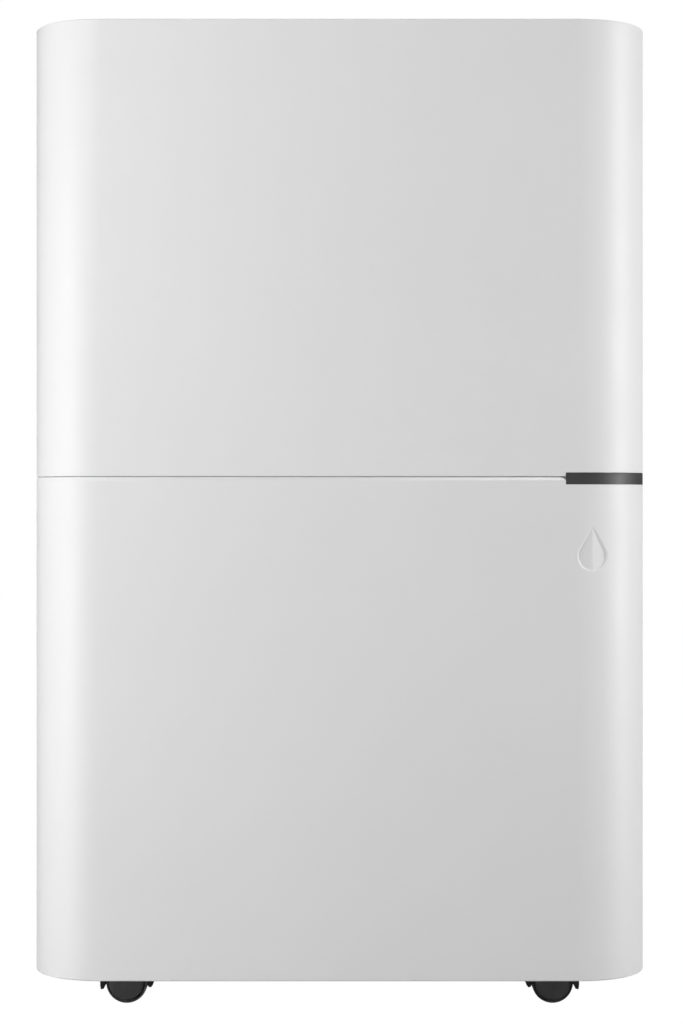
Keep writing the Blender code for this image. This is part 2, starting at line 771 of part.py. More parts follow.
def bucket_switch():
    """The switch over the bay roof, and the lever that the lid's float presses."""
    x, y = SWITCH_X, SWITCH_Y
    body = block("bucket_switch", (x - 0.010, y - 0.006, 0.3390), (x + 0.012, y + 0.006, 0.3520))
    low, high = (x - 0.003, y - 0.002, 0.3305), (x + 0.003, y + 0.002, 0.3395)
    keep(join(body, block("switch_plunger", low, high)), BLACK)


# ---- Refrigeration ------------------------------------------------------------------------


def coil(name, span):
    """A finned block: a core with upright fins on its rear face, and return bends at its ends."""
    y0, y1 = span
    count, root = 22, y1 - 0.009
    pitch = 2 * COIL_HALF / count
    outline = [(-COIL_HALF, y0), (COIL_HALF, y0)]
    for i in range(count):
        right = COIL_HALF - pitch * i
        outline += [(right, y1), (right - 0.0018, y1), (right - 0.0018, root)]
        if i < count - 1:
            outline.append((right - pitch, root))
    outline[-1] = (-COIL_HALF, root)
    body = plate(name, [outline], COIL_BOTTOM, COIL_TOP)
    middle = y0 + 0.008
    for side in (-1, 1):
        for k in range(3):
            top = COIL_TOP - 0.016 - 0.062 * k - (0.024 if side < 0 else 0)
            corners = [
                (side * (COIL_HALF - 0.003), middle, top),
                (side * (COIL_HALF + 0.014), middle, top),
                (side * (COIL_HALF + 0.014), middle, top - 0.024),
                (side * (COIL_HALF - 0.003), middle, top - 0.024),
            ]
            join(body, tube("return_bend", bent(corners, 0.0119, 2), 0.0035, 1))
    keep(body, FINS)


def compressor():
    x, y = COMPRESSOR
    radius = COMPRESSOR_RADIUS
    can = [
        (0, 0.0515), (radius - 0.006, 0.0515), (radius, 0.058), (radius, 0.190),
        (radius - 0.004, 0.202), (radius - 0.014, 0.211), (0.010, 0.216), (0, 0.216),
    ]
    shell = turned("compressor", can, (x, y, 0), steps=28)
    feet = [
        (x + FOOT_CIRCLE * math.cos(a), y + FOOT_CIRCLE * math.sin(a))
        for a in (math.radians(30), math.radians(150), math.radians(270))
    ]
    reach = 1.38
    spread = [(x + (fx - x) * reach, y + (fy - y) * reach, 0.010) for fx, fy in feet]
    join(shell, plate("foot_plate", [rounded(spread, COARSE_STEP)], 0.0500, 0.0530))
    keep(shell, PAINTED)
    ring = [
        (0.003, 0.0370), (0.009, 0.0370), (0.009, 0.0420), (0.0075, 0.0432),
        (0.009, 0.0444), (0.009, 0.0496), (0.003, 0.0496),
    ]
    for i, (fx, fy) in enumerate(feet):
        keep(turned(f"grommet_{i + 1}", ring, (fx, fy, 0), ring=True, steps=14), RUBBER)


def accumulator():
    x, y = ACCUMULATOR
    can = [(0, 0.064), (0.012, 0.064), (0.021, 0.074), (0.021, 0.152), (0.010, 0.164), (0, 0.164)]
    pot = turned("accumulator", can, (x, y, 0), steps=20)
    join(pot, rod("suction_stub", (0.1067, 0.0715, 0.082), (0.115, 0.0715, 0.082), 0.0045, 10))
    keep(pot, PAINTED)


def pipes():
    """The compressor's two pipes to the coils, and the capillary tube between the coils."""
    coil_end = COIL_HALF + GAP
    x, y = COMPRESSOR
    riser_x, riser_y, inlet_z = 0.169, 0.062, 0.525
    discharge = [
        (x, y, 0.2165), (x, y, 0.300), (riser_x, riser_y, 0.300),
        (riser_x, riser_y, inlet_z), (coil_end, riser_y, inlet_z),
    ]
    keep(tube("discharge_pipe", bent(discharge, 0.012, 3), 0.004, 2), COPPER)
    x, y = ACCUMULATOR
    riser_x, riser_y, outlet_z = 0.174, 0.094, 0.382
    suction = [
        (x, y, 0.1645), (x, y, 0.230), (riser_x, riser_y, 0.255),
        (riser_x, riser_y, outlet_z), (coil_end, riser_y, outlet_z),
    ]
    keep(tube("suction_pipe", bent(suction, 0.012, 3), 0.0045, 2), COPPER)
    turns, per_turn, radius = 2, 12, 0.013
    helix = []
    for i in range(turns * per_turn + 1):
        a = math.pi + 2 * math.pi * i / per_turn
        across = -0.166 - 0.0042 * i / per_turn
        helix.append((across, 0.080 + radius * math.cos(a), 0.440 + radius * math.sin(a)))
    lead = [
        (-coil_end, 0.060, 0.382), (-0.160, 0.060, 0.382),
        (-0.166, 0.065, 0.395), (-0.166, 0.067, 0.428),
    ]
    tail = [
        (-0.1744, 0.068, 0.426), (-0.1744, 0.084, 0.395),
        (-0.166, 0.092, 0.382), (-coil_end, 0.092, 0.382),
    ]
    keep(tube("capillary_tube", lead + helix + tail, 0.0012, 1), COPPER)


def drip_tray():
    """The tray below both coils, with a channel to the bucket and a port to the drain."""
    low, high = 0.345, 0.369
    edge = rounded_box(-0.150, 0.150, 0.048, 0.1118)
    tray = basin("drip_tray", [(low, edge), (high, edge)], 0.002)
    channel = block("tray_channel", (-0.012, SPOUT_Y - 0.008, low + 3e-4), (0.012, 0.049, 0.355))
    spout = rod("tray_spout", (0, SPOUT_Y, 0.331), (0, SPOUT_Y, 0.346), 0.006, 12)
    join(tray, channel, spout)
    groove = block("channel_groove", (-0.010, SPOUT_Y - 0.006, 0.347), (0.010, 0.052, 0.380))
    bore = rod("spout_bore", (0, SPOUT_Y, 0.325), (0, SPOUT_Y, 0.350), 0.004, 10)
    port = rod("drain_port", (DRAIN_X, 0.105, DRAIN_Z), (DRAIN_X, 0.116, DRAIN_Z), 0.0045, 12)
    keep(cut(tray, groove, bore, port), GREY)


# ---- Fan ----------------------------------------------------------------------------------


def volute(inset, top):
    """The fan housing's outline in X and Z: a spiral that opens into a throat."""
    big, small = THROAT_HALF - inset, 0.092 - inset
    points = [(big, top), (-big, top), (-big, FAN_Z)]
    steps = 22
    for i in range(1, steps + 1):
        share = i / steps
        a = math.pi + share * math.radians(215)
        radius = big + (small - big) * share
        points.append((radius * math.cos(a), FAN_Z + radius * math.sin(a)))
    return points


def fan_housing():
    """The spiral housing, with a round inlet at the back and a hole for the motor's boss."""
    front, rear = VOLUTE_FRONT, VOLUTE_REAR
    shell = plate("fan_housing", [volute(0, VOLUTE_TOP)], front, rear, "Y")
    inside = volute(WALL, VOLUTE_TOP + 0.01)
    hollow = plate("volute_hollow", [inside], front + WALL, rear - WALL, "Y")
    inlet = rod("volute_inlet", (0, 0.040, FAN_Z), (0, 0.050, FAN_Z), 0.066, 28)
    shaft = rod("volute_shaft_hole", (0, -0.045, FAN_Z), (0, -0.030, FAN_Z), 0.014, 16)
    keep(cut(shell, hollow, inlet, shaft), BLACK)


def fan_wheel():
    """A forward-curved blower wheel: a hub disc, a ring of blades and a rim."""
    disc = [
        (0.0033, -0.036), (0.012, -0.036), (0.012, -0.030), (FAN_RADIUS, -0.030),
        (FAN_RADIUS, -0.028), (0.012, -0.028), (0.010, -0.018), (0.0033, -0.018),
    ]
    wheel = turned("fan_wheel", disc, (0, 0, FAN_Z), "Y", ring=True, steps=20)
    rim = [(0.070, 0.033), (FAN_RADIUS, 0.033), (FAN_RADIUS, 0.035), (0.070, 0.035)]
    join(wheel, turned("fan_rim", rim, (0, 0, FAN_Z), "Y", ring=True, steps=20))
    work = bmesh.new()
    size = Matrix.Diagonal((0.0112, 0.0640, 0.0014, 1))
    for i in range(16):
        turn = Matrix.Rotation(2 * math.pi * i / 16, 4, "Y")
        tilt = Matrix.Rotation(math.radians(32), 4, "Y")
        place = turn @ Matrix.Translation((0.0762, 0.0025, 0)) @ tilt
        centred = Matrix.Translation((0, 0, FAN_Z)) @ place @ size
        bmesh.ops.create_cube(work, size=1, matrix=centred)
    mesh = bpy.data.meshes.new("fan_blades")
    work.to_mesh(mesh)
    work.free()
    join(wheel, bpy.data.objects.new("fan_blades", mesh))
    keep(wheel, BLACK)


def fan_motor():
    can = [
        (0, -0.090), (0.036, -0.090), (0.042, -0.084), (0.042, -0.048), (0.036, -0.0415),
        (0.010, -0.0415), (0.010, -0.0395), (0.003, -0.0395), (0.003, -0.022), (0, -0.022),
    ]
    keep(turned("fan_motor", can, (0, 0, FAN_Z), "Y", steps=18), STEEL)


# ---- Electrics -----------------------------------------------------------------------------


def electrics():
    tray = block("board_box", (0.090, -0.116, 0.400), (0.172, -0.078, 0.530))
    cut(tray, block("box_hollow", (0.0915, -0.130, 0.4015), (0.1705, -0.0795, 0.5285)))
    keep(tray, STEEL)
    board = block("control_board", (0.094, -0.0880, 0.405), (0.168, -0.0864, 0.525))
    parts = [
        ((0.098, -0.110, 0.412), (0.118, -0.0878, 0.436)),
        ((0.124, -0.105, 0.412), (0.140, -0.0878, 0.428)),
        ((0.146, -0.105, 0.412), (0.162, -0.0878, 0.428)),
        ((0.100, -0.102, 0.460), (0.112, -0.0878, 0.472)),
        ((0.122, -0.096, 0.450), (0.150, -0.0878, 0.470)),
        ((0.100, -0.098, 0.500), (0.160, -0.0878, 0.508)),
    ]
    keep(join(board, blocks("board_components", parts)), BOARD)
    can = [(0, 0.343), (0.014, 0.343), (0.015, 0.345), (0.015, 0.388), (0.014, 0.390), (0, 0.390)]
    keep(turned("run_capacitor", can, (0.130, -0.095, 0), steps=18), FINS)


# ---- Casters ------------------------------------------------------------------------------


def caster_hood(name, x, y, side):
    """The hood over a pair of wheels: a curved fender, a central web and an upright stem."""
    hub = x - side * CASTER_TRAIL
    outer, inner = 0.0170, WHEEL_RADIUS + 4e-4
    start, end = math.radians(-15), math.radians(190)
    arc = [start + (end - start) * i / 11 for i in range(12)]
    band = [(outer * math.cos(a), outer * math.sin(a)) for a in arc]
    band += [(inner * math.cos(a), inner * math.sin(a)) for a in reversed(arc)]
    if side < 0:
        band = [(-px, pz) for px, pz in reversed(band)]
    fender = [(hub + px, WHEEL_RADIUS + pz) for px, pz in band]
    hood = plate(name, [fender], y - 0.0118, y + 0.0118, "Y")
    reach = inner + 5e-4
    dome = [math.radians(-12 + 200 * i / 8) for i in range(9)]
    web = [(hub + reach * math.cos(a), WHEEL_RADIUS + reach * math.sin(a)) for a in dome]
    join(hood, plate("hood_web", [web], y - 0.0014, y + 0.0014, "Y"))
    join(hood, rod("hood_stem", (x, y, 0.0280), (x, y, 0.0515), STEM_RADIUS, 10))
    join(hood, rod("hood_collar", (x, y, 0.0276), (x, y, 0.0330), 0.0065, 12))
    front, rear = y - 0.004, y + 0.004
    bearing = rod("hub_hole", (hub, front, WHEEL_RADIUS), (hub, rear, WHEEL_RADIUS), 0.0037, 12)
    snap = block("snap_slot", (hub - 0.0026, front, 0.004), (hub + 0.0026, rear, WHEEL_RADIUS))
    cut(hood, bearing, snap)
    keep(hinge_on(hood, (x, y, 0)), BLACK)


def caster_wheels(name, hub, y):
    half = [
        (0.0019, 0.0112), (0.0122, 0.0112), (WHEEL_RADIUS, 0.0102),
        (WHEEL_RADIUS, 0.0022), (0.0032, 0.0022),
    ]
    profile = half + [(r, -h) for r, h in reversed(half)]
    keep(turned(name, profile, (hub, y, WHEEL_RADIUS), "Y", ring=True, steps=20), RUBBER)


def casters():
    for end, y in CASTER_YS.items():
        for side, hand in ((-1, "left"), (1, "right")):
            x = side * CASTER_X
            hub = x - side * CASTER_TRAIL
            caster_hood(f"caster_hood_{end}_{hand}", x, y, side)
            caster_wheels(f"caster_wheel_{end}_{hand}", hub, y)
            pin = [(0, -0.0106), (0.0015, -0.0106), (0.0015, 0.0106), (0, 0.0106)]
            name = f"caster_axle_{end}_{hand}"
            keep(turned(name, pin, (hub, y, WHEEL_RADIUS), "Y", steps=10), STEEL)


start_scene()
base_pan()
rear_housing()
front_cover()
top_cover()
side_grips()
bucket_bay()
status_lens()
cord_gland()
control_panel()
display_lens()
buttons()
display_board()
outlet_frame()
outlet_flap()
rear_grille()
filter_screen()
drain()
bucket()
bucket_front()
bucket_lid()
bucket_handle()
water_float()
bucket_switch()
coil("condenser", CONDENSER_Y)
coil("evaporator", EVAPORATOR_Y)
compressor()
accumulator()
pipes()
drip_tray()
fan_housing()
fan_wheel()
fan_motor()
electrics()
casters()
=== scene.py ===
"""Portable dehumidifier: a white cabinet with a pull-out front bucket, on four casters."""

import math

import bmesh
import bpy
from mathutils import Matrix, Vector


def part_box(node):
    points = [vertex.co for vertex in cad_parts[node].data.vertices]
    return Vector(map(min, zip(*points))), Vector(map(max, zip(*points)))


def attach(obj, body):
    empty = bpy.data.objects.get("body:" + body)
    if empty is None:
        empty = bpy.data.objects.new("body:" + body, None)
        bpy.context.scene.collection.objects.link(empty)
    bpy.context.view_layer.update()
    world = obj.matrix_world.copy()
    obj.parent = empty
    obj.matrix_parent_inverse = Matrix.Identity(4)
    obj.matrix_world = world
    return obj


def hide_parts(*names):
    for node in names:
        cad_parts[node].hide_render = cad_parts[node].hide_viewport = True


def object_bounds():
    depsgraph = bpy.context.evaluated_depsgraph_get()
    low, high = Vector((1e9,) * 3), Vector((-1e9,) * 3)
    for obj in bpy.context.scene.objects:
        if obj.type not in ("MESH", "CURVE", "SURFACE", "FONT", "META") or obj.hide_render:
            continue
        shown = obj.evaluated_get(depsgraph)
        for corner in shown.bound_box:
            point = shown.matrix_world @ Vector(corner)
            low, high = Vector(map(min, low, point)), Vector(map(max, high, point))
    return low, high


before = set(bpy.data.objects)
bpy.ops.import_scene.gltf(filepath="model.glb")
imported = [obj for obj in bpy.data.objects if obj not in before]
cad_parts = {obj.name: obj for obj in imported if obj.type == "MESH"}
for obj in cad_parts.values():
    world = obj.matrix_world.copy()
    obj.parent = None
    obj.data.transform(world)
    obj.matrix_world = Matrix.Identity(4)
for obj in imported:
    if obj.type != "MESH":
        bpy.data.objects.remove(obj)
cad_low, cad_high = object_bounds()


# ---- Camera and studio --------------------------------------------------------------
# A catalogue view square to the front, from the middle of the cabinet's height. The
# floor and the background are white paper, lit by large soft boxes at both sides.

shell_low, shell_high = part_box("rear_housing")
cover_low, cover_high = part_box("front_cover")
HALF_WIDTH = cover_high.x
FRONT_Y = cover_low.y
BACK_Y = shell_high.y
BODY_BOTTOM = shell_low.z
BODY_TOP = cad_high.z
MID_HEIGHT = (BODY_BOTTOM + BODY_TOP) / 2
CAMERA_DISTANCE = 1.409
LENS = 80.1
SHIFT_RIGHT = 0.0018
SHIFT_DOWN = 0.0121

camera = bpy.data.cameras.new("camera")
camera.lens = LENS
camera.sensor_width = 36.0
camera.shift_x = SHIFT_RIGHT
camera.shift_y = -SHIFT_DOWN
viewpoint = bpy.data.objects.new("camera", camera)
viewpoint.location = (0, FRONT_Y - CAMERA_DISTANCE, MID_HEIGHT)
viewpoint.rotation_euler = (math.pi / 2, 0, 0)
bpy.context.scene.collection.objects.link(viewpoint)
bpy.context.scene.camera = viewpoint
bpy.context.scene.view_settings.view_transform = "Standard"


def soft_box(name, place, aim, size, power):
    """A rectangular soft box at a place, facing a point."""
    light = bpy.data.lights.new(name, "AREA")
    light.shape = "RECTANGLE"
    light.size, light.size_y = size
    light.energy = power
    lamp = bpy.data.objects.new(name, light)
    lamp.location = place
    lamp.rotation_euler = (Vector(place) - Vector(aim)).to_track_quat("Z", "Y").to_euler()
    bpy.context.scene.collection.objects.link(lamp)


BOX_AIM = (0, 0, 0.35)
BOX_MIDDLE_Y = -0.05


def side_box(name, bearing, distance, height, size, power):
    """A soft box at a bearing in degrees from the camera's side, towards the right."""
    a = math.radians(bearing)
    place = (distance * math.sin(a), BOX_MIDDLE_Y - distance * math.cos(a), height)
    soft_box(name, place, BOX_AIM, size, power)


side_box("key_light", -28, 1.6, 1.05, (0.4, 0.4), 12.6)
side_box("left_light", -60, 1.0, 0.35, (0.3, 0.7), 4.4)
side_box("right_near_light", 72, 0.9, 0.5, (0.2, 0.8), 3.3)
side_box("right_low_light", 80, 1.6, 0.2, (0.25, 0.7), 5.4)
side_box("right_high_light", 80, 1.6, 0.85, (0.25, 0.7), 3.4)
soft_box("rear_light", (0, 1.5, 1.5), BOX_AIM, (1.6, 0.8), 10)
soft_box("top_light", (0, 0.1, 1.7), (0, 0, 0.3), (1.6, 1.2), 5)


def shader_nodes(material):
    """The node tree of a new material with only its output and Principled shader."""
    material.use_nodes = True
    tree = material.node_tree
    return tree, tree.nodes["Principled BSDF"], tree.nodes["Material Output"]


ROOM_LIGHT = 0.04
PAPER_GREY = 0.45
PAPER_GLOW = 1.03
GLOW_SHARE = 0.97
FLOOR_SIZE = 6
world = bpy.data.worlds.new("studio")
bpy.context.scene.world = world
world.use_nodes = True
sky = world.node_tree
room = sky.nodes["Background"]
room.inputs["Color"].default_value = (1, 1, 1, 1)
room.inputs["Strength"].default_value = ROOM_LIGHT
paper = sky.nodes.new("ShaderNodeBackground")
paper.inputs["Color"].default_value = (1, 1, 1, 1)
paper.inputs["Strength"].default_value = 1.0
ray = sky.nodes.new("ShaderNodeLightPath")
either = sky.nodes.new("ShaderNodeMixShader")
sky.links.new(ray.outputs["Is Camera Ray"], either.inputs["Fac"])
sky.links.new(room.outputs["Background"], either.inputs[1])
sky.links.new(paper.outputs["Background"], either.inputs[2])
sky.links.new(either.outputs["Shader"], sky.nodes["World Output"].inputs["Surface"])

floor_mesh = bpy.data.meshes.new("floor")
sheet = bmesh.new()
bmesh.ops.create_grid(sheet, x_segments=1, y_segments=1, size=FLOOR_SIZE)
sheet.to_mesh(floor_mesh)
sheet.free()
floor = bpy.data.objects.new("floor", floor_mesh)
bpy.context.scene.collection.objects.link(floor)
floor_paper = bpy.data.materials.new("floor_paper")
tree, shader, out = shader_nodes(floor_paper)
shader.inputs["Base Color"].default_value = (PAPER_GREY, PAPER_GREY, PAPER_GREY, 1)
shader.inputs["Roughness"].default_value = 0.9
glow = tree.nodes.new("ShaderNodeEmission")
glow.inputs["Strength"].default_value = PAPER_GLOW
ray = tree.nodes.new("ShaderNodeLightPath")
share = tree.nodes.new("ShaderNodeMath")
share.operation = "MULTIPLY"
share.inputs[1].default_value = GLOW_SHARE
either = tree.nodes.new("ShaderNodeMixShader")
tree.links.new(ray.outputs["Is Camera Ray"], share.inputs[0])
tree.links.new(share.outputs["Value"], either.inputs["Fac"])
tree.links.new(shader.outputs["BSDF"], either.inputs[1])
tree.links.new(glow.outputs["Emission"], either.inputs[2])
tree.links.new(either.outputs["Shader"], out.inputs["Surface"])
floor_mesh.materials.append(floor_paper)


# ---- Upper front cover --------------------------------------------------------------
# One ABS moulding that wraps the front and both front corners, 2.5 mm thick, clipped to
# the housing at its two upright edges. Its skin is satin with a very fine spark texture.

WALL = 0.0025
FRONT_RADIUS = 0.045
REAR_RADIUS = 0.030
SPLIT_Y = FRONT_Y + FRONT_RADIUS
EDGE = 0.0008
CABINET_WHITE = (0.80, 0.80, 0.80)


def node_group(name, inputs, outputs):
    """An empty shader group. Inputs are (name, value); outputs are names."""
    tree = bpy.data.node_groups.new(name, "ShaderNodeTree")
    for label, value in inputs:
        kind = "NodeSocketColor" if isinstance(value, tuple) else "NodeSocketFloat"
        socket = tree.interface.new_socket(label, in_out="INPUT", socket_type=kind)
        socket.default_value = (*value, 1) if isinstance(value, tuple) else value
    for label in outputs:
        kind = "NodeSocketColor" if label == "Color" else "NodeSocketFloat"
        tree.interface.new_socket(label, in_out="OUTPUT", socket_type=kind)
    return tree, tree.nodes.new("NodeGroupInput"), tree.nodes.new("NodeGroupOutput")


def noise(tree, scale, detail=2.0, vector=None, stretch=None):
    """A noise texture in the piece's own coordinates, stretched if asked."""
    texture = tree.nodes.new("ShaderNodeTexNoise")
    texture.inputs["Scale"].default_value = scale
    texture.inputs["Detail"].default_value = detail
    if vector is None:
        vector = tree.nodes.new("ShaderNodeTexCoord").outputs["Object"]
    if stretch:
        mapping = tree.nodes.new("ShaderNodeMapping")
        mapping.inputs["Scale"].default_value = stretch
        tree.links.new(vector, mapping.inputs["Vector"])
        vector = mapping.outputs["Vector"]
    tree.links.new(vector, texture.inputs["Vector"])
    return texture.outputs["Fac"]


def rescaled(tree, value, low, high, start=0.0, end=1.0):
    """A value taken from one range into another, held at its ends."""
    node = tree.nodes.new("ShaderNodeMapRange")
    for socket, number in zip(node.inputs[1:5], (start, end, low, high)):
        socket.default_value = number
    tree.links.new(value, node.inputs["Value"])
    return node.outputs["Result"]


def times(tree, a, b, operation="MULTIPLY"):
    """The product of two values, or another sum of them. Each is a number or a socket."""
    node = tree.nodes.new("ShaderNodeMath")
    node.operation = operation
    for socket, item in zip(node.inputs, (a, b)):
        if isinstance(item, (int, float)):
            socket.default_value = item
        else:
            tree.links.new(item, socket)
    return node.outputs["Value"]


def blended(tree, share, first, second):
    """A colour between two, by a share from 0 to 1. Each is a colour or a socket."""
    node = tree.nodes.new("ShaderNodeMix")
    node.data_type = "RGBA"
    sockets = (node.inputs["Factor"], node.inputs[6], node.inputs[7])
    for socket, item in zip(sockets, (share, first, second)):
        if isinstance(item, (int, float)):
            socket.default_value = item
        elif isinstance(item, tuple):
            socket.default_value = (*item, 1)
        else:
            tree.links.new(item, socket)
    return node.outputs[2]


# Moulded skin: spark-eroded grain, a slow drift in tone, and a drift in gloss.
skin, skin_in, skin_out = node_group(
    "moulded_skin",
    [
        ("Color", (0.8, 0.8, 0.8)), ("Grain Scale", 1500.0), ("Tone Drift", 0.02),
        ("Gloss", 0.4), ("Gloss Drift", 0.05),
    ],
    ["Color", "Roughness", "Height"],
)
place = skin.nodes.new("ShaderNodeTexCoord").outputs["Object"]
grain = skin.nodes.new("ShaderNodeTexNoise")
grain.inputs["Detail"].default_value = 3.0
skin.links.new(place, grain.inputs["Vector"])
skin.links.new(skin_in.outputs["Grain Scale"], grain.inputs["Scale"])
cloud = noise(skin, 7.0, 3.0, place)
drift = times(skin, rescaled(skin, cloud, -1.0, 1.0, 0.25, 0.75), skin_in.outputs["Tone Drift"])
tone = times(skin, 1.0, drift, "SUBTRACT")
tint = skin.nodes.new("ShaderNodeVectorMath")
tint.operation = "SCALE"
skin.links.new(skin_in.outputs["Color"], tint.inputs[0])
skin.links.new(tone, tint.inputs["Scale"])
skin.links.new(tint.outputs["Vector"], skin_out.inputs["Color"])
sheen = rescaled(skin, noise(skin, 38.0, 4.0, place), -1.0, 1.0, 0.3, 0.7)
gloss = times(skin, times(skin, sheen, skin_in.outputs["Gloss Drift"]), skin_in.outputs["Gloss"], "ADD")
skin.links.new(gloss, skin_out.inputs["Roughness"])
skin.links.new(grain.outputs["Fac"], skin_out.inputs["Height"])

# Painted edge sheen: a highlight painted on convex corners and edges makes them slightly paler, broken up in
# patches.
edge_sheen, edge_sheen_in, edge_sheen_out = node_group("painted_edge_sheen", [("Amount", 0.5), ("Breakup", 90.0)], ["Mask"])
ridge = edge_sheen.nodes.new("ShaderNodeNewGeometry").outputs["Pointiness"]
ridge = rescaled(edge_sheen, ridge, 0.0, 1.0, 0.505, 0.60)
patchy = edge_sheen.nodes.new("ShaderNodeTexNoise")
patchy.inputs["Detail"].default_value = 4.0
edge_sheen.links.new(edge_sheen.nodes.new("ShaderNodeTexCoord").outputs["Object"], patchy.inputs["Vector"])
edge_sheen.links.new(edge_sheen_in.outputs["Breakup"], patchy.inputs["Scale"])
sheen_patches = times(edge_sheen, ridge, rescaled(edge_sheen, patchy.outputs["Fac"], 0.3, 1.0, 0.35, 0.65))
edge_sheen.links.new(times(edge_sheen, sheen_patches, edge_sheen_in.outputs["Amount"]), edge_sheen_out.inputs["Mask"])

# Settled dust: a thin pale film on what faces up, thicker in patches.
dusty, dusty_in, dusty_out = node_group("settled_dust", [("Amount", 0.3), ("Patch Scale", 25.0)], ["Mask"])
facing = dusty.nodes.new("ShaderNodeSeparateXYZ")
dusty.links.new(dusty.nodes.new("ShaderNodeNewGeometry").outputs["Normal"], facing.inputs["Vector"])
lying = rescaled(dusty, facing.outputs["Z"], 0.0, 1.0, 0.55, 1.0)
patches = dusty.nodes.new("ShaderNodeTexNoise")
patches.inputs["Detail"].default_value = 6.0
dusty.links.new(dusty.nodes.new("ShaderNodeTexCoord").outputs["Object"], patches.inputs["Vector"])
dusty.links.new(dusty_in.outputs["Patch Scale"], patches.inputs["Scale"])
film = times(dusty, lying, rescaled(dusty, patches.outputs["Fac"], 0.15, 1.0, 0.35, 0.7))
dusty.links.new(times(dusty, film, dusty_in.outputs["Amount"]), dusty_out.inputs["Mask"])


def placed(tree, group, **values):
    """One use of a shader group in a material, with its own values."""
    node = tree.nodes.new("ShaderNodeGroup")
    node.node_tree = group
    for label, value in values.items():
        socket = node.inputs[label.replace("_", " ").title()]
        socket.default_value = (*value, 1) if isinstance(value, tuple) else value
    return node


def skinned(tree, colour, grain, tone, gloss, drift):
    """The moulded skin: its colour, its grain, and how far its tone and its gloss drift."""
    values = {"color": colour, "grain_scale": grain, "tone_drift": tone, "gloss": gloss, "gloss_drift": drift}
    return placed(tree, skin, **values)


def bumped(tree, shader, height, depth):
    """Gives a shader a relief from a height, this deep."""
    bump = tree.nodes.new("ShaderNodeBump")
    bump.inputs["Distance"].default_value = depth
    bump.inputs["Strength"].default_value = 1.0
    tree.links.new(height, bump.inputs["Height"])
    tree.links.new(bump.outputs["Normal"], shader.inputs["Normal"])


def moulding(name, colour, gloss, grain, depth, tone, dust=0.0, sheen=0.3):
    """A moulded plastic: grained skin, a painted sheen that makes convex edges paler, and dust on upward
    faces.
    """
    material = bpy.data.materials.new(name)
    tree, shader, _ = shader_nodes(material)
    surface = skinned(tree, colour, grain, tone, gloss, 0.04)
    # Painted sheen: convex edges are blended towards a paler colour, as a highlight.
    painted_sheen = placed(tree, edge_sheen, amount=sheen)
    paler = tuple(c + (1 - c) * 0.25 for c in colour)
    finish = blended(tree, painted_sheen.outputs["Mask"], surface.outputs["Color"], paler)
    roughness = surface.outputs["Roughness"]
    if dust:
        film = placed(tree, dusty, amount=dust)
        finish = blended(tree, film.outputs["Mask"], finish, (0.62, 0.61, 0.58))
        roughness = times(tree, roughness, times(tree, film.outputs["Mask"], 0.5), "ADD")
    tree.links.new(finish, shader.inputs["Base Color"])
    tree.links.new(roughness, shader.inputs["Roughness"])
    bumped(tree, shader, surface.outputs["Height"], depth)
    return material


cabinet_white = moulding("cabinet_white", CABINET_WHITE, 0.50, 1800.0, 1.2e-5, 0.012, dust=0.03, sheen=0.2)


def mesh_piece(name, work, sharp=30):
    """An object from a working mesh, smooth but for edges over an angle in degrees."""
    bmesh.ops.recalc_face_normals(work, faces=work.faces)
    mesh = bpy.data.meshes.new(name)
    work.to_mesh(mesh)
    work.free()
    mesh.shade_smooth()
    mesh.set_sharp_from_angle(angle=math.radians(sharp))
    piece = bpy.data.objects.new(name, mesh)
    bpy.context.scene.collection.objects.link(piece)
    return piece


FOLD = 40


def settle(piece):
    """Applies a piece's modifiers, and shades the result smooth but for its sharp edges."""
    graph = bpy.context.evaluated_depsgraph_get()
    mesh = bpy.data.meshes.new_from_object(piece.evaluated_get(graph))
    mesh.shade_smooth()
    mesh.set_sharp_from_angle(angle=math.radians(FOLD))
    piece.modifiers.clear()
    old = piece.data
    piece.data = mesh
    mesh.name = piece.name
    bpy.data.meshes.remove(old)
    return piece


def cut(piece, *cutters):
    """Cuts shapes out of a piece and throws the cutters away."""
    for cutter in cutters:
        modifier = piece.modifiers.new("cut", "BOOLEAN")
        modifier.operation = "DIFFERENCE"
        modifier.solver = "EXACT"
        modifier.object = cutter
    settle(piece)
    for cutter in cutters:
        bpy.data.objects.remove(cutter)
    return piece


def eased(piece, width, segments=3, angle=35):
    """Rounds every sharp edge of a piece by a small radius."""
    rounding = piece.modifiers.new("eased", "BEVEL")
    rounding.width = width
    rounding.segments = segments
    rounding.limit_method = "ANGLE"
    rounding.angle_limit = math.radians(angle)
    rounding.use_clamp_overlap = True
    rounding.harden_normals = True
    return settle(piece)


def finished(piece, material, body, slot, *replaced):
    """Gives a piece its material, its body and the nodes it stands for. Its finish slot is not used."""
    piece.data.materials.clear()
    piece.data.materials.append(material)
    flat = piece.modifiers.new("flat_faces", "WEIGHTED_NORMAL")
    flat.keep_sharp = True
    settle(piece)
    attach(piece, body)
    if replaced:
        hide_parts(*replaced)
    return piece


def arc_stations(centre, radius, start, end, count):
    """Points round an arc with the outward normal at each, from angle to angle in degrees."""
    stations = []
    for i in range(count + 1):
        a = math.radians(start + (end - start) * i / count)
        outward = Vector((math.cos(a), math.sin(a)))
        stations.append((Vector(centre) + outward * radius, outward))
    return stations


def front_stations():
    """The front's plan from the left upright edge round both corners to the right one."""
    inner = HALF_WIDTH - FRONT_RADIUS
    left = arc_stations((-inner, SPLIT_Y), FRONT_RADIUS, 180, 270, 30)
    right = arc_stations((inner, SPLIT_Y), FRONT_RADIUS, 270, 360, 30)
    return left + right


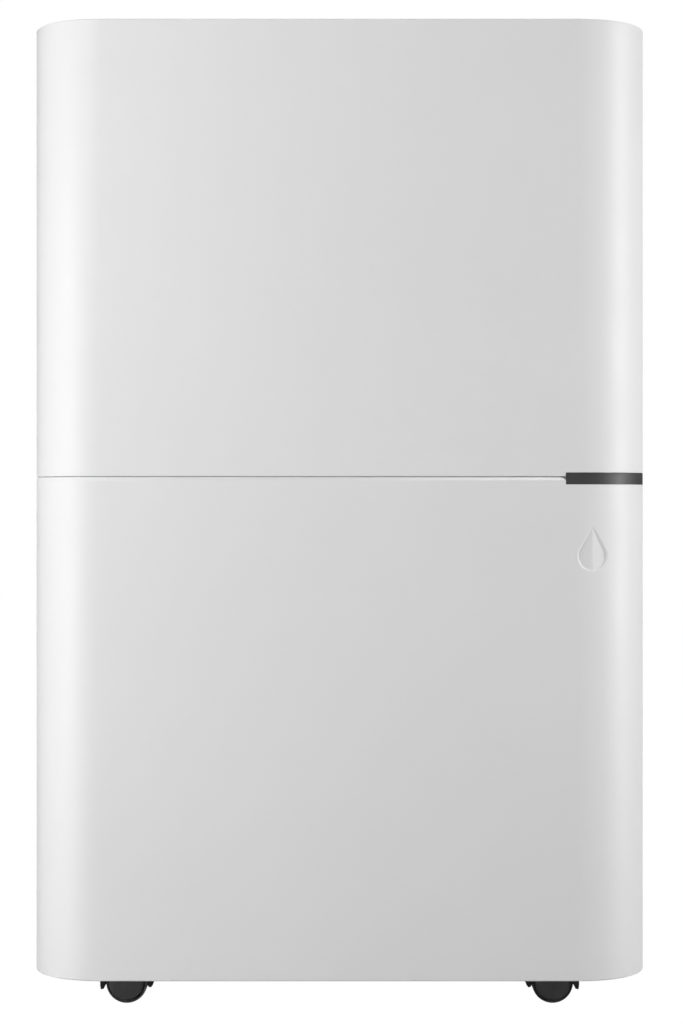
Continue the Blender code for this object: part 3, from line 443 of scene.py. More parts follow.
def rear_stations():
    """The plan of the two sides and the back, from the right upright edge to the left."""
    inner_x, inner_y = HALF_WIDTH - REAR_RADIUS, BACK_Y - REAR_RADIUS
    start = (Vector((HALF_WIDTH, SPLIT_Y)), Vector((1, 0)))
    end = (Vector((-HALF_WIDTH, SPLIT_Y)), Vector((-1, 0)))
    right = arc_stations((inner_x, inner_y), REAR_RADIUS, 0, 90, 24)
    left = arc_stations((-inner_x, inner_y), REAR_RADIUS, 90, 180, 24)
    return [start] + right + left + [end]


def wall_section(bottom, top, thickness, low_round, high_round, rows=()):
    """A wall's closed section as (inset, height). Its outer edges are rounded by a depth and a height."""
    section = []
    for i in range(7):
        a = math.radians(90 * i / 6)
        section.append((low_round[0] * (1 - math.sin(a)), bottom + low_round[1] * (1 - math.cos(a))))
    section += [(0, z) for z in rows]
    for i in range(7):
        a = math.radians(90 * i / 6)
        section.append((high_round[0] * (1 - math.cos(a)), top - high_round[1] * (1 - math.sin(a))))
    return section + [(thickness, top), (thickness, bottom)]


def swept(name, section, stations, relief=None):
    """A section carried along a plan. The relief gives how deep a mark sinks at a place."""
    work = bmesh.new()
    rings = []
    for point, outward in stations:
        ring = []
        for inset, z in section:
            sunk = relief(point.x, z) if relief and inset == 0 else 0.0
            flat = point - outward * (inset + sunk)
            ring.append(work.verts.new((flat.x, flat.y, z)))
        rings.append(ring)
    count = len(section)
    for one, two in zip(rings, rings[1:]):
        for i in range(count):
            k = (i + 1) % count
            work.faces.new((one[i], one[k], two[k], two[i]))
    work.faces.new(rings[0])
    work.faces.new(rings[-1][::-1])
    return mesh_piece(name, work)


def crate(name, low, high):
    """A plain block between two corners, for cutting."""
    low, high = Vector(low), Vector(high)
    work = bmesh.new()
    size = Matrix.Diagonal((*(high - low), 1))
    bmesh.ops.create_cube(work, size=1, matrix=Matrix.Translation((low + high) / 2) @ size)
    return mesh_piece(name, work)


lens_low, lens_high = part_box("status_lens")
LENS_GAP = 0.00008
SEAM_GAP = 0.00022
BELOW_SEAM, ABOVE_SEAM = 0.30, 0.40
PAST_SPLIT = SPLIT_Y + 0.01
seam_z = (cover_low.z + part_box("bucket_front")[1].z) / 2

front_cover = swept(
    "front_cover_shell",
    wall_section(seam_z + SEAM_GAP / 2, cover_high.z, WALL, (0.0005, 0.0004), (EDGE, EDGE)),
    front_stations(),
)
room_low = (lens_low.x - LENS_GAP, -1, BELOW_SEAM)
cut(front_cover, crate("lens_room", room_low, (1, PAST_SPLIT, lens_high.z + LENS_GAP)))
eased(front_cover, 0.0002)
finished(front_cover, cabinet_white, "cabinet", "cabinet_plastic", "front_cover")


# ---- Bucket face --------------------------------------------------------------------
# The lower front is the face of the water bucket, moulded like the cover above it. Its
# top edge is rolled over to catch a finger, and a water drop is pressed in at the right.

face_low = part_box("bucket_front")[0]
ROLLED_EDGE = (0.0013, 0.0032)
DROP_X = 0.1566
DROP_Z = 0.2891
DROP_TIP = 0.3080
DROP_RADIUS = 0.0096
DROP_GRID = 0.0003
DROP_ROOM_X, DROP_ROOM_Z = 0.014, 0.024
ROWS_BELOW, ROWS_HEIGHT = 0.0100, 0.0300
DROP_DRAFT = 0.0010
FLOOR_DEPTH = 0.0011
LEFT_SLOPE = math.tan(math.radians(-2))
RIGHT_SLOPE = math.tan(math.radians(21))


def drop_edge_distance(across, up):
    """Signed distance from a drop's outline, negative inside: a circle with a tip above."""
    tip = DROP_TIP - DROP_Z
    lean = math.acos(DROP_RADIUS / tip)
    across = abs(across)
    if math.atan2(across, up) > lean:
        return math.hypot(across, up) - DROP_RADIUS
    return across * math.sin(lean) + up * math.cos(lean) - DROP_RADIUS


def drop_relief(x, z):
    """The mark's depth: a sloping wall down to a floor of two flat facets, left and right."""
    across, up = x - DROP_X, z - DROP_Z
    if abs(across) > DROP_ROOM_X or abs(up) > DROP_ROOM_Z:
        return 0.0
    inside = -drop_edge_distance(across, up)
    if inside <= 0:
        return 0.0
    share = min(1.0, inside / DROP_DRAFT)
    past = max(0.0, x - HALF_WIDTH + FRONT_RADIUS)
    fallen = FRONT_RADIUS - math.sqrt(FRONT_RADIUS ** 2 - past ** 2)
    floor_y = FLOOR_DEPTH + across * (RIGHT_SLOPE if across > 0 else LEFT_SLOPE)
    return share * share * (3 - 2 * share) * max(0.0, floor_y - fallen)


def face_stations():
    """The front's plan, with close stations where the drop is."""
    inner = HALF_WIDTH - FRONT_RADIUS
    left = arc_stations((-inner, SPLIT_Y), FRONT_RADIUS, 180, 270, 30)
    quarter = math.pi / 2 * FRONT_RADIUS
    corner_start = quarter + 2 * inner
    first, last = corner_start - 0.0025, corner_start + 0.0200
    count = round((last - first) / DROP_GRID)
    stations = []
    for i in range(count + 1):
        distance = first + (last - first) * i / count
        if distance < corner_start:
            stations.append((Vector((distance - quarter - inner, FRONT_Y)), Vector((0, -1))))
        else:
            a = (distance - corner_start) / FRONT_RADIUS
            outward = Vector((math.sin(a), -math.cos(a)))
            stations.append((Vector((inner, SPLIT_Y)) + outward * FRONT_RADIUS, outward))
    turned = math.degrees((last - corner_start) / FRONT_RADIUS)
    right = arc_stations((inner, SPLIT_Y), FRONT_RADIUS, 270 + turned, 360, 24)
    return left + stations + right[1:]


rows = [DROP_Z - ROWS_BELOW + DROP_GRID * i for i in range(round(ROWS_HEIGHT / DROP_GRID))]
bucket_face = swept(
    "bucket_face",
    wall_section(face_low.z, seam_z - SEAM_GAP / 2, WALL, (EDGE, EDGE), ROLLED_EDGE, rows),
    face_stations(),
    relief=drop_relief,
)
notch_low = lens_low - Vector((LENS_GAP, 1, LENS_GAP))
cut(bucket_face, crate("lens_notch", notch_low, (1, PAST_SPLIT, ABOVE_SEAM)))
finished(bucket_face, cabinet_white, "bucket", "cabinet_plastic", "bucket_front")


# ---- Shell of the sides and back ----------------------------------------------------
# One moulding for both sides and the back. It is open for the air grille, the drain, the
# cord gland, the two finger grips, and the scoops beside the bucket's face.

FACINGS = {
    "Z": Matrix.Identity(4),
    "Y": Matrix(((1, 0, 0, 0), (0, 0, -1, 0), (0, 1, 0, 0), (0, 0, 0, 1))),
    "X": Matrix(((0, 0, 1, 0), (1, 0, 0, 0), (0, 1, 0, 0), (0, 0, 0, 1))),
}


def from_curve(name, curve, matrix=Matrix.Identity(4)):
    """A welded mesh made from a curve, smooth but for its sharp edges."""
    guide = bpy.data.objects.new(name, curve)
    bpy.context.scene.collection.objects.link(guide)
    graph = bpy.context.evaluated_depsgraph_get()
    mesh = bpy.data.meshes.new_from_object(guide.evaluated_get(graph))
    bpy.data.objects.remove(guide)
    bpy.data.curves.remove(curve)
    work = bmesh.new()
    work.from_mesh(mesh)
    bpy.data.meshes.remove(mesh)
    bmesh.ops.remove_doubles(work, verts=work.verts, dist=2e-6)
    bmesh.ops.transform(work, matrix=matrix, verts=work.verts)
    return mesh_piece(name, work, FOLD)


def sheet_piece(name, outlines, low, high, facing="Z", ease=0.0):
    """A flat moulding between two planes with eased edges. The later outlines are holes."""
    curve = bpy.data.curves.new(name, "CURVE")
    curve.dimensions = "2D"
    curve.fill_mode = "BOTH"
    curve.extrude = (high - low) / 2 - ease
    curve.bevel_depth = ease
    curve.bevel_resolution = 2
    curve.offset = -ease
    for outline in outlines:
        spline = curve.splines.new("POLY")
        spline.points.add(len(outline) - 1)
        for point, (x, y) in zip(spline.points, outline):
            point.co = (x, y, 0, 1)
        spline.use_cyclic_u = True
    middle = (low + high) / 2
    shift = Matrix.Translation((0, 0, -middle if facing == "Y" else middle))
    return from_curve(name, curve, FACINGS[facing] @ shift)


def rounded(corners, step=6.0):
    """Points of a closed anticlockwise outline whose corners are (x, y, radius)."""
    points = []
    count = len(corners)
    for i, (x, y, radius) in enumerate(corners):
        here = Vector((x, y))
        before = (Vector(corners[i - 1][:2]) - here).normalized()
        after = (Vector(corners[(i + 1) % count][:2]) - here).normalized()
        if radius <= 0:
            points.append(here)
            continue
        half = before.angle(after) / 2
        centre = here + (before + after).normalized() * (radius / math.sin(half))
        start = here + before * (radius / math.tan(half)) - centre
        turn = math.pi - 2 * half
        steps = max(2, round(math.degrees(turn) / step))
        for k in range(steps + 1):
            points.append(centre + Matrix.Rotation(turn * k / steps, 2) @ start)
    return [tuple(p) for p in points]


def rounded_box(x0, x1, y0, y1, radius=0.0, step=6.0):
    """The outline of a rectangle with four equal corners."""
    return rounded([(x0, y0, radius), (x1, y0, radius), (x1, y1, radius), (x0, y1, radius)], step)


def two_radius_box(half, front, back, front_radius, rear_radius, step=6.0):
    """A plan outline, the same to both sides, with its own radius at the front and rear."""
    corners = [(-half, front, front_radius), (half, front, front_radius)]
    corners += [(half, back, rear_radius), (-half, back, rear_radius)]
    return rounded(corners, step)


def circle(x, y, radius, count=48):
    """Points round a circle."""
    turns = [2 * math.pi * k / count for k in range(count)]
    return [(x + radius * math.cos(a), y + radius * math.sin(a)) for a in turns]


def grown(box, by, axes):
    """The two spans of a node's box along two axes, this much larger on every side."""
    (low, high), (a, b) = box, ("XYZ".index(axes[0]), "XYZ".index(axes[1]))
    return low[a] - by, high[a] + by, low[b] - by, high[b] + by


CLEARANCE = 0.0004
GRIP_RADIUS = 0.012
grille_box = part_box("rear_grille")
drain_low, drain_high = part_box("drain_recess")
gland_low, gland_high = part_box("cord_gland")
grip_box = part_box("side_grip_right")
drain_x, drain_z = (drain_low.x + drain_high.x) / 2, (drain_low.z + drain_high.z) / 2
drain_radius = (drain_high.x - drain_low.x) / 2
gland_x, gland_z = (gland_low.x + gland_high.x) / 2, (gland_low.z + gland_high.z) / 2
SCOOP_LOW, SCOOP_HIGH, SCOOP_REACH = 0.170, 0.250, 0.014
GLAND_NECK = 0.0070

THROUGH_BACK = (0.12, 0.15)
THROUGH_SIDES = (-0.3, 0.3)

side_section = wall_section(shell_low.z, shell_high.z, WALL, (EDGE, EDGE), (EDGE, EDGE))
housing = swept("rear_shell", side_section, rear_stations())
grip_edge = rounded_box(*grown(grip_box, CLEARANCE, "YZ"), GRIP_RADIUS)
scoop = rounded_box(SPLIT_Y - 0.03, SPLIT_Y + SCOOP_REACH, SCOOP_LOW, SCOOP_HIGH, 0.010)
cut(
    housing,
    sheet_piece("grille_room", [rounded_box(*grown(grille_box, CLEARANCE, "XZ"), 0.006)], *THROUGH_BACK, "Y"),
    sheet_piece("drain_room", [circle(drain_x, drain_z, drain_radius + CLEARANCE)], *THROUGH_BACK, "Y"),
    sheet_piece("gland_room", [circle(gland_x, gland_z, GLAND_NECK + CLEARANCE)], *THROUGH_BACK, "Y"),
    sheet_piece("grip_room", [grip_edge], *THROUGH_SIDES, "X"),
    sheet_piece("scoop_room", [scoop], *THROUGH_SIDES, "X"),
)
eased(housing, 0.0006)
finished(housing, cabinet_white, "cabinet", "cabinet_plastic", "rear_housing")


# ---- Top cover ----------------------------------------------------------------------
# A separate lid let in flush with the shell, with openings for the controls and the vent.

TOP_INSET = 0.0029
panel_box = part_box("control_panel")
vent_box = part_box("outlet_frame")
lid_low, lid_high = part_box("top_cover")


def cabinet_outline(inset):
    """The cabinet's plan, this far inside its outer faces."""
    return two_radius_box(
        HALF_WIDTH - inset,
        FRONT_Y + inset,
        BACK_Y - inset,
        FRONT_RADIUS - inset,
        REAR_RADIUS - inset,
        3.0,
    )


top_cover = sheet_piece(
    "top_lid",
    [
        cabinet_outline(TOP_INSET),
        rounded_box(*grown(panel_box, CLEARANCE, "XY"), 0.006),
        rounded_box(*grown(vent_box, CLEARANCE, "XY"), 0.006),
    ],
    lid_low.z,
    lid_high.z,
    ease=0.0009,
)
lid_white = moulding("lid_white", CABINET_WHITE, 0.48, 1500.0, 2.5e-5, 0.015, dust=0.10, sheen=0.3)
finished(top_cover, lid_white, "cabinet", "cabinet_plastic", "top_cover")


# ---- Status lens --------------------------------------------------------------------
# A smoked acrylic strip that wraps the right front corner over the seam, with a status
# light behind it. Its face stands flush with the cover, and its edges are polished.

LENS_THICK = 0.003
LENS_EDGE = (0.0002, 0.0002)


def lens_stations():
    """The strip's plan, from its end on the flat front round the corner to the side."""
    inner = HALF_WIDTH - FRONT_RADIUS
    flat = [(Vector((x, FRONT_Y)), Vector((0, -1))) for x in (lens_low.x, lens_low.x + 0.004)]
    turned = math.degrees(math.acos(-(lens_high.y - SPLIT_Y) / FRONT_RADIUS)) - 90
    return flat + arc_stations((inner, SPLIT_Y), FRONT_RADIUS, 270, 360 + turned, 45)


lens_section = wall_section(lens_low.z, lens_high.z, LENS_THICK, LENS_EDGE, LENS_EDGE)
lens = swept("status_strip", lens_section, lens_stations())


def smoked(name, colour, roughness):
    """Smoked acrylic: a dark body under a polished skin with faint wipe marks."""
    material = bpy.data.materials.new(name)
    tree, shader, _ = shader_nodes(material)
    surface = skinned(tree, colour, 700.0, 0.15, roughness, 0.12)
    tree.links.new(surface.outputs["Color"], shader.inputs["Base Color"])
    tree.links.new(surface.outputs["Roughness"], shader.inputs["Roughness"])
    bumped(tree, shader, surface.outputs["Height"], 4e-6)
    return material


strip_smoke = smoked("strip_smoke", (0.050, 0.050, 0.051), 0.46)
finished(lens, strip_smoke, "cabinet", "smoked_lens", "status_lens")


# ---- Finger grips -------------------------------------------------------------------
# A deep cup in each side for lifting, with a rolled lip.

CUP_WALL = 0.002
CUP_DEPTH = 0.0215
for side, hand in ((-1, "left"), (1, "right")):
    low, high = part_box(f"side_grip_{hand}")
    y0, y1, z0, z1 = low.y, high.y, low.z, high.z
    mouth = side * HALF_WIDTH
    outside = rounded_box(y0, y1, z0, z1, GRIP_RADIUS)
    cup = sheet_piece(f"grip_cup_{hand}", [outside], low.x, high.x, "X", 0.0005)
    inner = rounded_box(y0 + CUP_WALL, y1 - CUP_WALL, z0 + CUP_WALL, z1 - CUP_WALL, GRIP_RADIUS - CUP_WALL)
    span = sorted((mouth - side * (CUP_DEPTH - CUP_WALL), mouth + side * 0.01))
    cut(cup, sheet_piece("cup_hollow", [inner], *span, "X", 0.003))
    eased(cup, 0.0004, 2, 50)
    finished(cup, cabinet_white, "cabinet", "cabinet_plastic", f"side_grip_{hand}")


# ---- Controls -----------------------------------------------------------------------
# A dark fascia let into the top near the front, with a smoked display window between two
# groups of three round keys. The signs on the keys are generic.


def turned(name, profile, centre, axis="Z", ring=False, steps=64):
    """A turned piece. The profile is (radius, height along the axis), closed for a ring."""
    mesh = bpy.data.meshes.new(name)
    edges = [(i, i + 1) for i in range(len(profile) - 1)] + ([(len(profile) - 1, 0)] if ring else [])
    mesh.from_pydata([(r, 0, h) for r, h in profile], edges, [])
    piece = bpy.data.objects.new(name, mesh)
    bpy.context.scene.collection.objects.link(piece)
    screw = piece.modifiers.new("turn", "SCREW")
    screw.steps = screw.render_steps = steps
    screw.use_merge_vertices = True
    screw.merge_threshold = 1e-6
    graph = bpy.context.evaluated_depsgraph_get()
    work = bmesh.new()
    work.from_object(piece, graph)
    bpy.data.objects.remove(piece)
    turn = {
        "Z": Matrix.Identity(4),
        "Y": Matrix.Rotation(-math.pi / 2, 4, "X"),
        "X": Matrix.Rotation(math.pi / 2, 4, "Y"),
    }
    bmesh.ops.transform(work, matrix=Matrix.Translation(centre) @ turn[axis], verts=work.verts)
    return mesh_piece(name, work, 35)


def line_piece(name, lines, radius, resolution):
    """Round bars or pipes along lists of points."""
    curve = bpy.data.curves.new(name, "CURVE")
    curve.dimensions = "3D"
    curve.bevel_depth = radius
    curve.bevel_resolution = resolution
    curve.use_fill_caps = True
    for points in lines:
        spline = curve.splines.new("POLY")
        spline.points.add(len(points) - 1)
        for point, spot in zip(spline.points, points):
            point.co = (*spot, 1)
    return from_curve(name, curve)


def joined(name, pieces):
    """Several pieces made one object."""
    work = bmesh.new()
    for piece in pieces:
        work.from_mesh(piece.data)
        bpy.data.objects.remove(piece)
    mesh = bpy.data.meshes.new(name)
    work.to_mesh(mesh)
    work.free()
    mesh.shade_smooth()
    mesh.set_sharp_from_angle(angle=math.radians(35))
    piece = bpy.data.objects.new(name, mesh)
    bpy.context.scene.collection.objects.link(piece)
    return piece


KEYS = ["timer", "fan_speed", "humidity_down", "humidity_up", "mode", "power"]
key_boxes = {key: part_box(f"{key}_button") for key in KEYS}
key_y = (key_boxes["power"][0].y + key_boxes["power"][1].y) / 2
KEY_RADIUS = 0.0065
KEY_BORE = KEY_RADIUS + 0.0004
WINDOW_X, WINDOW_Y = 0.0245, 0.0115
key_x = {key: (low.x + high.x) / 2 for key, (low, high) in key_boxes.items()}
panel_low, panel_high = panel_box
window = rounded_box(-WINDOW_X, WINDOW_X, key_y - WINDOW_Y, key_y + WINDOW_Y, 0.002)
fascia = sheet_piece(
    "control_fascia",
    [
        rounded_box(*grown(panel_box, 0, "XY"), 0.0055),
        window,
        *[circle(x, key_y, KEY_BORE) for x in key_x.values()],
    ],
    panel_low.z,
    panel_high.z,
    ease=0.0004,
)
fascia_grey = moulding("fascia_grey", (0.115, 0.115, 0.118), 0.42, 1400.0, 2e-5, 0.10, dust=0.12, sheen=0.5)
finished(fascia, fascia_grey, "cabinet", "panel_plastic", "control_panel")

lens_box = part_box("display_lens")
window_low, window_high = lens_box
display = sheet_piece(
    "display_window",
    [rounded_box(-0.024, 0.024, key_y - 0.011, key_y + 0.011, 0.002)],
    window_low.z,
    window_high.z,
    ease=0.0004,
)
window_smoke = smoked("window_smoke", (0.012, 0.012, 0.013), 0.08)
finished(display, window_smoke, "cabinet", "smoked_lens", "display_lens")


def painted_mark(name, colour, glow=0.0):
    """Printed ink with a slightly uneven edge to its tone."""
    material = bpy.data.materials.new(name)
    tree, shader, _ = shader_nodes(material)
    uneven = rescaled(tree, noise(tree, 900.0), -1.0, 1.0, 0.35, 0.65)
    darker = tuple(c * 0.8 for c in colour)
    ink = blended(tree, uneven, darker, colour)
    tree.links.new(ink, shader.inputs["Base Color"])
    shader.inputs["Roughness"].default_value = 0.5
    if glow:
        tree.links.new(ink, shader.inputs["Emission Color"])
        shader.inputs["Emission Strength"].default_value = glow
    return material


# The display shows a relative humidity as two seven-bar digits.
DIGIT_WIDTH, DIGIT_HEIGHT, BAR = 0.0062, 0.0118, 0.0011
BARS = {
    "top": ((0, 2), (1, 2)), "upper_left": ((0, 1), (0, 2)), "upper_right": ((1, 1), (1, 2)),
    "middle": ((0, 1), (1, 1)), "lower_left": ((0, 0), (0, 1)), "lower_right": ((1, 0), (1, 1)),
    "bottom": ((0, 0), (1, 0)),
}
DIGITS = {
    "tens": (-0.0085, ["top", "upper_left", "middle", "lower_right", "bottom"]),
    "ones": (0.0015, ["top", "upper_left", "upper_right", "lower_left", "lower_right", "bottom"]),
}
bars = []
for left, lit in DIGITS.values():
    for bar in lit:
        ends = []
        for across, up in BARS[bar]:
            x = left + DIGIT_WIDTH * across
            y = key_y - DIGIT_HEIGHT / 2 + DIGIT_HEIGHT / 2 * up
            ends.append(Vector((x, y, window_high.z + 0.00002)))
        along = (ends[1] - ends[0]).normalized() * BAR * 0.7
        bars.append([ends[0] + along, ends[1] - along])
digits = line_piece("display_digits", bars, BAR / 2, 1)
INK_BELOW, INK_THICK = 0.0002, 0.00022
for vertex in digits.data.vertices:
    vertex.co.z = window_high.z - INK_BELOW + (INK_THICK if vertex.co.z > window_high.z else 0)
digit_green = painted_mark("digit_light", (0.55, 0.80, 0.75), 0.6)
finished(digits, digit_green, "cabinet", "smoked_lens")

# Dished key caps on skirts.
KEY_SKIRT = 0.0076
key_white = moulding("key_white", (0.76, 0.76, 0.75), 0.32, 1700.0, 8e-6, 0.02, sheen=0.6)
sign_ink = painted_mark("sign_ink", (0.10, 0.10, 0.11))


def arc_line(x, y, radius, start, end, count=18):
    """Points of an arc in plan, from angle to angle in degrees."""
    points = []
    for i in range(count + 1):
        a = math.radians(start + (end - start) * i / count)
        points.append((x + radius * math.cos(a), y + radius * math.sin(a)))
    return points


def key_sign(key, x, y):
    """The strokes of a generic sign for a key, in plan."""
    if key == "power":
        return [arc_line(x, y - 0.0002, 0.0020, 125, 415), [(x, y), (x, y + 0.0025)]]
    if key == "timer":
        return [arc_line(x, y, 0.0023, 0, 360), [(x, y + 0.0014), (x, y), (x + 0.0011, y)]]
    if key == "mode":
        return [arc_line(x + 0.0014 * side, y, 0.0010, 0, 360) for side in (-1, 1)]
    if key == "fan_speed":
        blades = []
        for turn in (90, 210, 330):
            a = math.radians(turn)
            blade_x, blade_y = x + 0.0012 * math.cos(a), y + 0.0012 * math.sin(a)
            blades.append(arc_line(blade_x, blade_y, 0.0011, turn - 180, turn + 60))
        return blades
    up = 1 if key == "humidity_up" else -1
    return [[(x - 0.0020, y - 0.0009 * up), (x, y + 0.0011 * up), (x + 0.0020, y - 0.0009 * up)]]


DISH_DEPTH, KEY_ROUND = 0.0006, 0.0009
dish_radius = KEY_RADIUS - KEY_ROUND
for key, x in key_x.items():
    low, high = key_boxes[key]
    dish = [(0, high.z - DISH_DEPTH)]
    for i in range(1, 9):
        dish.append((dish_radius * i / 8, high.z - DISH_DEPTH + DISH_DEPTH * (i / 8) ** 2))
    rim = []
    for a in (math.radians(30), math.radians(60), math.radians(90)):
        rim.append((dish_radius + KEY_ROUND * math.sin(a), high.z - KEY_ROUND * (1 - math.cos(a))))
    skirt = [(KEY_RADIUS, low.z + 0.0017), (KEY_SKIRT, low.z + 0.0015), (KEY_SKIRT, low.z), (0, low.z)]
    cap = turned(f"{key}_key", dish + rim + skirt, (x, key_y, 0))
    finished(cap, key_white, f"{key}_button", "button_plastic", f"{key}_button")
    strokes = [[(px, py, high.z - 0.00045) for px, py in line] for line in key_sign(key, x, key_y)]
    sign = line_piece(f"{key}_sign", strokes, 0.00022, 1)
    finished(sign, sign_ink, f"{key}_button", "button_plastic")


# ---- Air outlet ---------------------------------------------------------------------
# A frame let into the top, with angled vanes below it, and a flap hinged along its rear
# edge. The flap has ribs below and a thumb notch in its front edge.

VENT_LIP = 0.0045
FRAME_LOW, FIN_TOP = 0.6140, 0.6145
VANES = 26
SPINE_Y, SPINE_Z = (0.0005, 0.0025), (0.6025, 0.6120)
flap_low, flap_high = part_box("outlet_flap")
vent_low, vent_high = vent_box
vent_x, vent_y0, vent_y1 = vent_high.x - VENT_LIP, vent_low.y + VENT_LIP, vent_high.y - VENT_LIP
vent_edge = rounded_box(*grown(vent_box, 0, "XY"), 0.0055)
vent_hole = rounded_box(-vent_x, vent_x, vent_y0, vent_y1, 0.002)
vent_frame = sheet_piece("vent_frame", [vent_edge, vent_hole], FRAME_LOW, vent_high.z, ease=0.0006)
skirt_edge = rounded_box(*grown(vent_box, -0.0005, "XY"), 0.005)
skirt_hole = rounded_box(-vent_x + 0.0008, vent_x - 0.0008, vent_y0 + 0.0005, vent_y1 - 0.0005, 0.0015)
vent_skirt = sheet_piece("vent_skirt", [skirt_edge, skirt_hole], vent_low.z, FIN_TOP, ease=0.0003)
lean, square = Vector((0.0012, 0.0062)), Vector((0.00055, -0.0001))
vane_corners = (-lean - square, square - lean, lean + square, lean - square)
vane_z = (vent_low.z + FIN_TOP) / 2
vane_edges = []
for i in range(VANES):
    x = -vent_x + 2 * vent_x * (i + 0.5) / VANES
    vane_edges.append([(x + d.x, vane_z + d.y) for d in vane_corners])
vanes = sheet_piece("vent_vanes", vane_edges, vent_y0, vent_y1, "Y", 0.0001)
spine = sheet_piece("vent_spine", [rounded_box(-vent_x, vent_x, *SPINE_Y)], *SPINE_Z, ease=0.0004)
outlet = joined("air_outlet", [vent_frame, vent_skirt, vanes, spine])
finished(outlet, lid_white, "cabinet", "cabinet_plastic", "outlet_frame")

NOTCH_HALF, NOTCH_DEPTH = 0.016, 0.0035
FLAP_X, FLAP_ROUND, LEAF_LOW = 0.119, 0.002, 0.6190
HINGE_Y, HINGE_Z = 0.038, 0.618
RIB_PLACES, RIB_HALF, RIB_LOW, RIB_HIGH = (-0.100, -0.050, 0, 0.050, 0.100), 0.0006, 0.6172, 0.6193
flap_front, flap_back = flap_low.y, flap_high.y
notch = []
for i in range(13):
    share = i / 12
    sunk = NOTCH_DEPTH * math.sin(math.pi * share) ** 2
    notch.append((-NOTCH_HALF + 2 * NOTCH_HALF * share, flap_front + sunk))
flap_edge = rounded(
    [
        (FLAP_X, flap_front, FLAP_ROUND), (FLAP_X, flap_back, FLAP_ROUND),
        (-FLAP_X, flap_back, FLAP_ROUND), (-FLAP_X, flap_front, FLAP_ROUND),
    ]
)
leaf = sheet_piece("flap_leaf", [flap_edge[-3:] + notch + flap_edge[:-3]], LEAF_LOW, flap_high.z, ease=0.0006)
hinge_bars = []
for name, half, radius in (("flap_rod", 0.1185, 0.0019), ("flap_pins", 0.1215, 0.0015)):
    hinge_bars.append(line_piece(name, [[(-half, HINGE_Y, HINGE_Z), (half, HINGE_Y, HINGE_Z)]], radius, 4))
rib_edges = [rounded_box(x - RIB_HALF, x + RIB_HALF, flap_front + 0.006, HINGE_Y, 0.0005) for x in RIB_PLACES]
stiffeners = sheet_piece("flap_ribs", rib_edges, RIB_LOW, RIB_HIGH)
flap = joined("outlet_lid", [leaf, *hinge_bars, stiffeners])
finished(flap, lid_white, "outlet_flap", "cabinet_plastic", "outlet_flap")


# ---- Rear grille and filter ---------------------------------------------------------
# The inlet cover has three columns of sloped louvres in a frame with a finger slot at the
# top. The filter behind it is a net of nylon threads on a ribbed frame.

grille_low, grille_high = grille_box
COLUMNS = [(-0.138, -0.050), (-0.044, 0.044), (0.050, 0.138)]
LOUVRES = 22
PLATE_BACK, LOUVRE_Y, LOUVRE_SLOPE = 0.1320, 0.1312, 38
THREAD, MESH_PITCH, FRAME_BAR, NET_INSET = 0.00022, 0.0018, 0.005, 0.002
slot_low, slot_high = grille_low.z + 0.011, grille_high.z - 0.013
openings = [rounded_box(x0, x1, slot_low, slot_high, 0.002) for x0, x1 in COLUMNS]
finger_slot = rounded_box(-0.014, 0.014, grille_high.z - 0.0095, grille_high.z - 0.0045, 0.0024)
edge = rounded_box(*grown(grille_box, 0, "XZ"), 0.0055)
plate_edges = [edge, *openings, finger_slot]
grille_plate = sheet_piece("grille_plate", plate_edges, PLATE_BACK, grille_high.y, "Y", 0.0005)
rim_outer = rounded_box(*grown(grille_box, -0.0005, "XZ"), 0.005)
rim_inner = rounded_box(*grown(grille_box, -0.003, "XZ"), 0.003)
grille_rim = sheet_piece("grille_rim", [rim_outer, rim_inner], grille_low.y, PLATE_BACK + 0.0004, "Y", 0.0003)
pitch = (slot_high - slot_low) / LOUVRES
slope = math.radians(LOUVRE_SLOPE)
along = Vector((math.cos(slope), -math.sin(slope))) * 0.0040
across = Vector((math.sin(slope), math.cos(slope))) * 0.0007
slat_edges = []
for i in range(LOUVRES):
    middle = Vector((LOUVRE_Y, slot_low + pitch * (i + 0.5)))
    corners = [
        middle - along - across, middle + along - across,
        middle + along + across, middle - along + across,
    ]
    slat_edges.append(rounded([(p.x, p.y, 0.0005) for p in corners], 30))
slats = sheet_piece("grille_slats", slat_edges, COLUMNS[0][0] - 0.001, COLUMNS[2][1] + 0.001, "X")
grille = joined("inlet_grille", [grille_plate, grille_rim, slats])
finished(grille, cabinet_white, "filter", "cabinet_plastic", "rear_grille")

screen_low, screen_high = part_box("filter_screen")
cell_x = (screen_high.x - screen_low.x - FRAME_BAR) / 4
cell_z = (screen_high.z - screen_low.z - FRAME_BAR) / 3
cells = [
    rounded_box(
        screen_low.x + FRAME_BAR + cell_x * i, screen_low.x + cell_x * (i + 1),
        screen_low.z + FRAME_BAR + cell_z * k, screen_low.z + cell_z * (k + 1), 0.001,
    )
    for i in range(4)
    for k in range(3)
]
screen_edge = rounded_box(*grown((screen_low, screen_high), 0, "XZ"), 0.003)
screen_front = screen_low.y + 0.0008
screen_frame = sheet_piece("screen_frame", [screen_edge, *cells], screen_front, screen_high.y, "Y", 0.0005)
frame_grey = moulding("frame_grey", (0.075, 0.075, 0.08), 0.5, 1200.0, 3e-5, 0.15, dust=0.3, sheen=0.5)
finished(screen_frame, frame_grey, "filter", "filter_mesh", "filter_screen")
net_x0, net_x1 = screen_low.x + NET_INSET, screen_high.x - NET_INSET
net_z0, net_z1 = screen_low.z + NET_INSET, screen_high.z - NET_INSET
warp_y, weft_y = screen_low.y + 0.0003, screen_low.y + 0.0007
threads = []
x = net_x0
while x < net_x1:
    threads.append([(x, warp_y, net_z0), (x, warp_y, net_z1)])
    x += MESH_PITCH
z = net_z0
while z < net_z1:
    threads.append([(net_x0, weft_y, z), (net_x1, weft_y, z)])
    z += MESH_PITCH
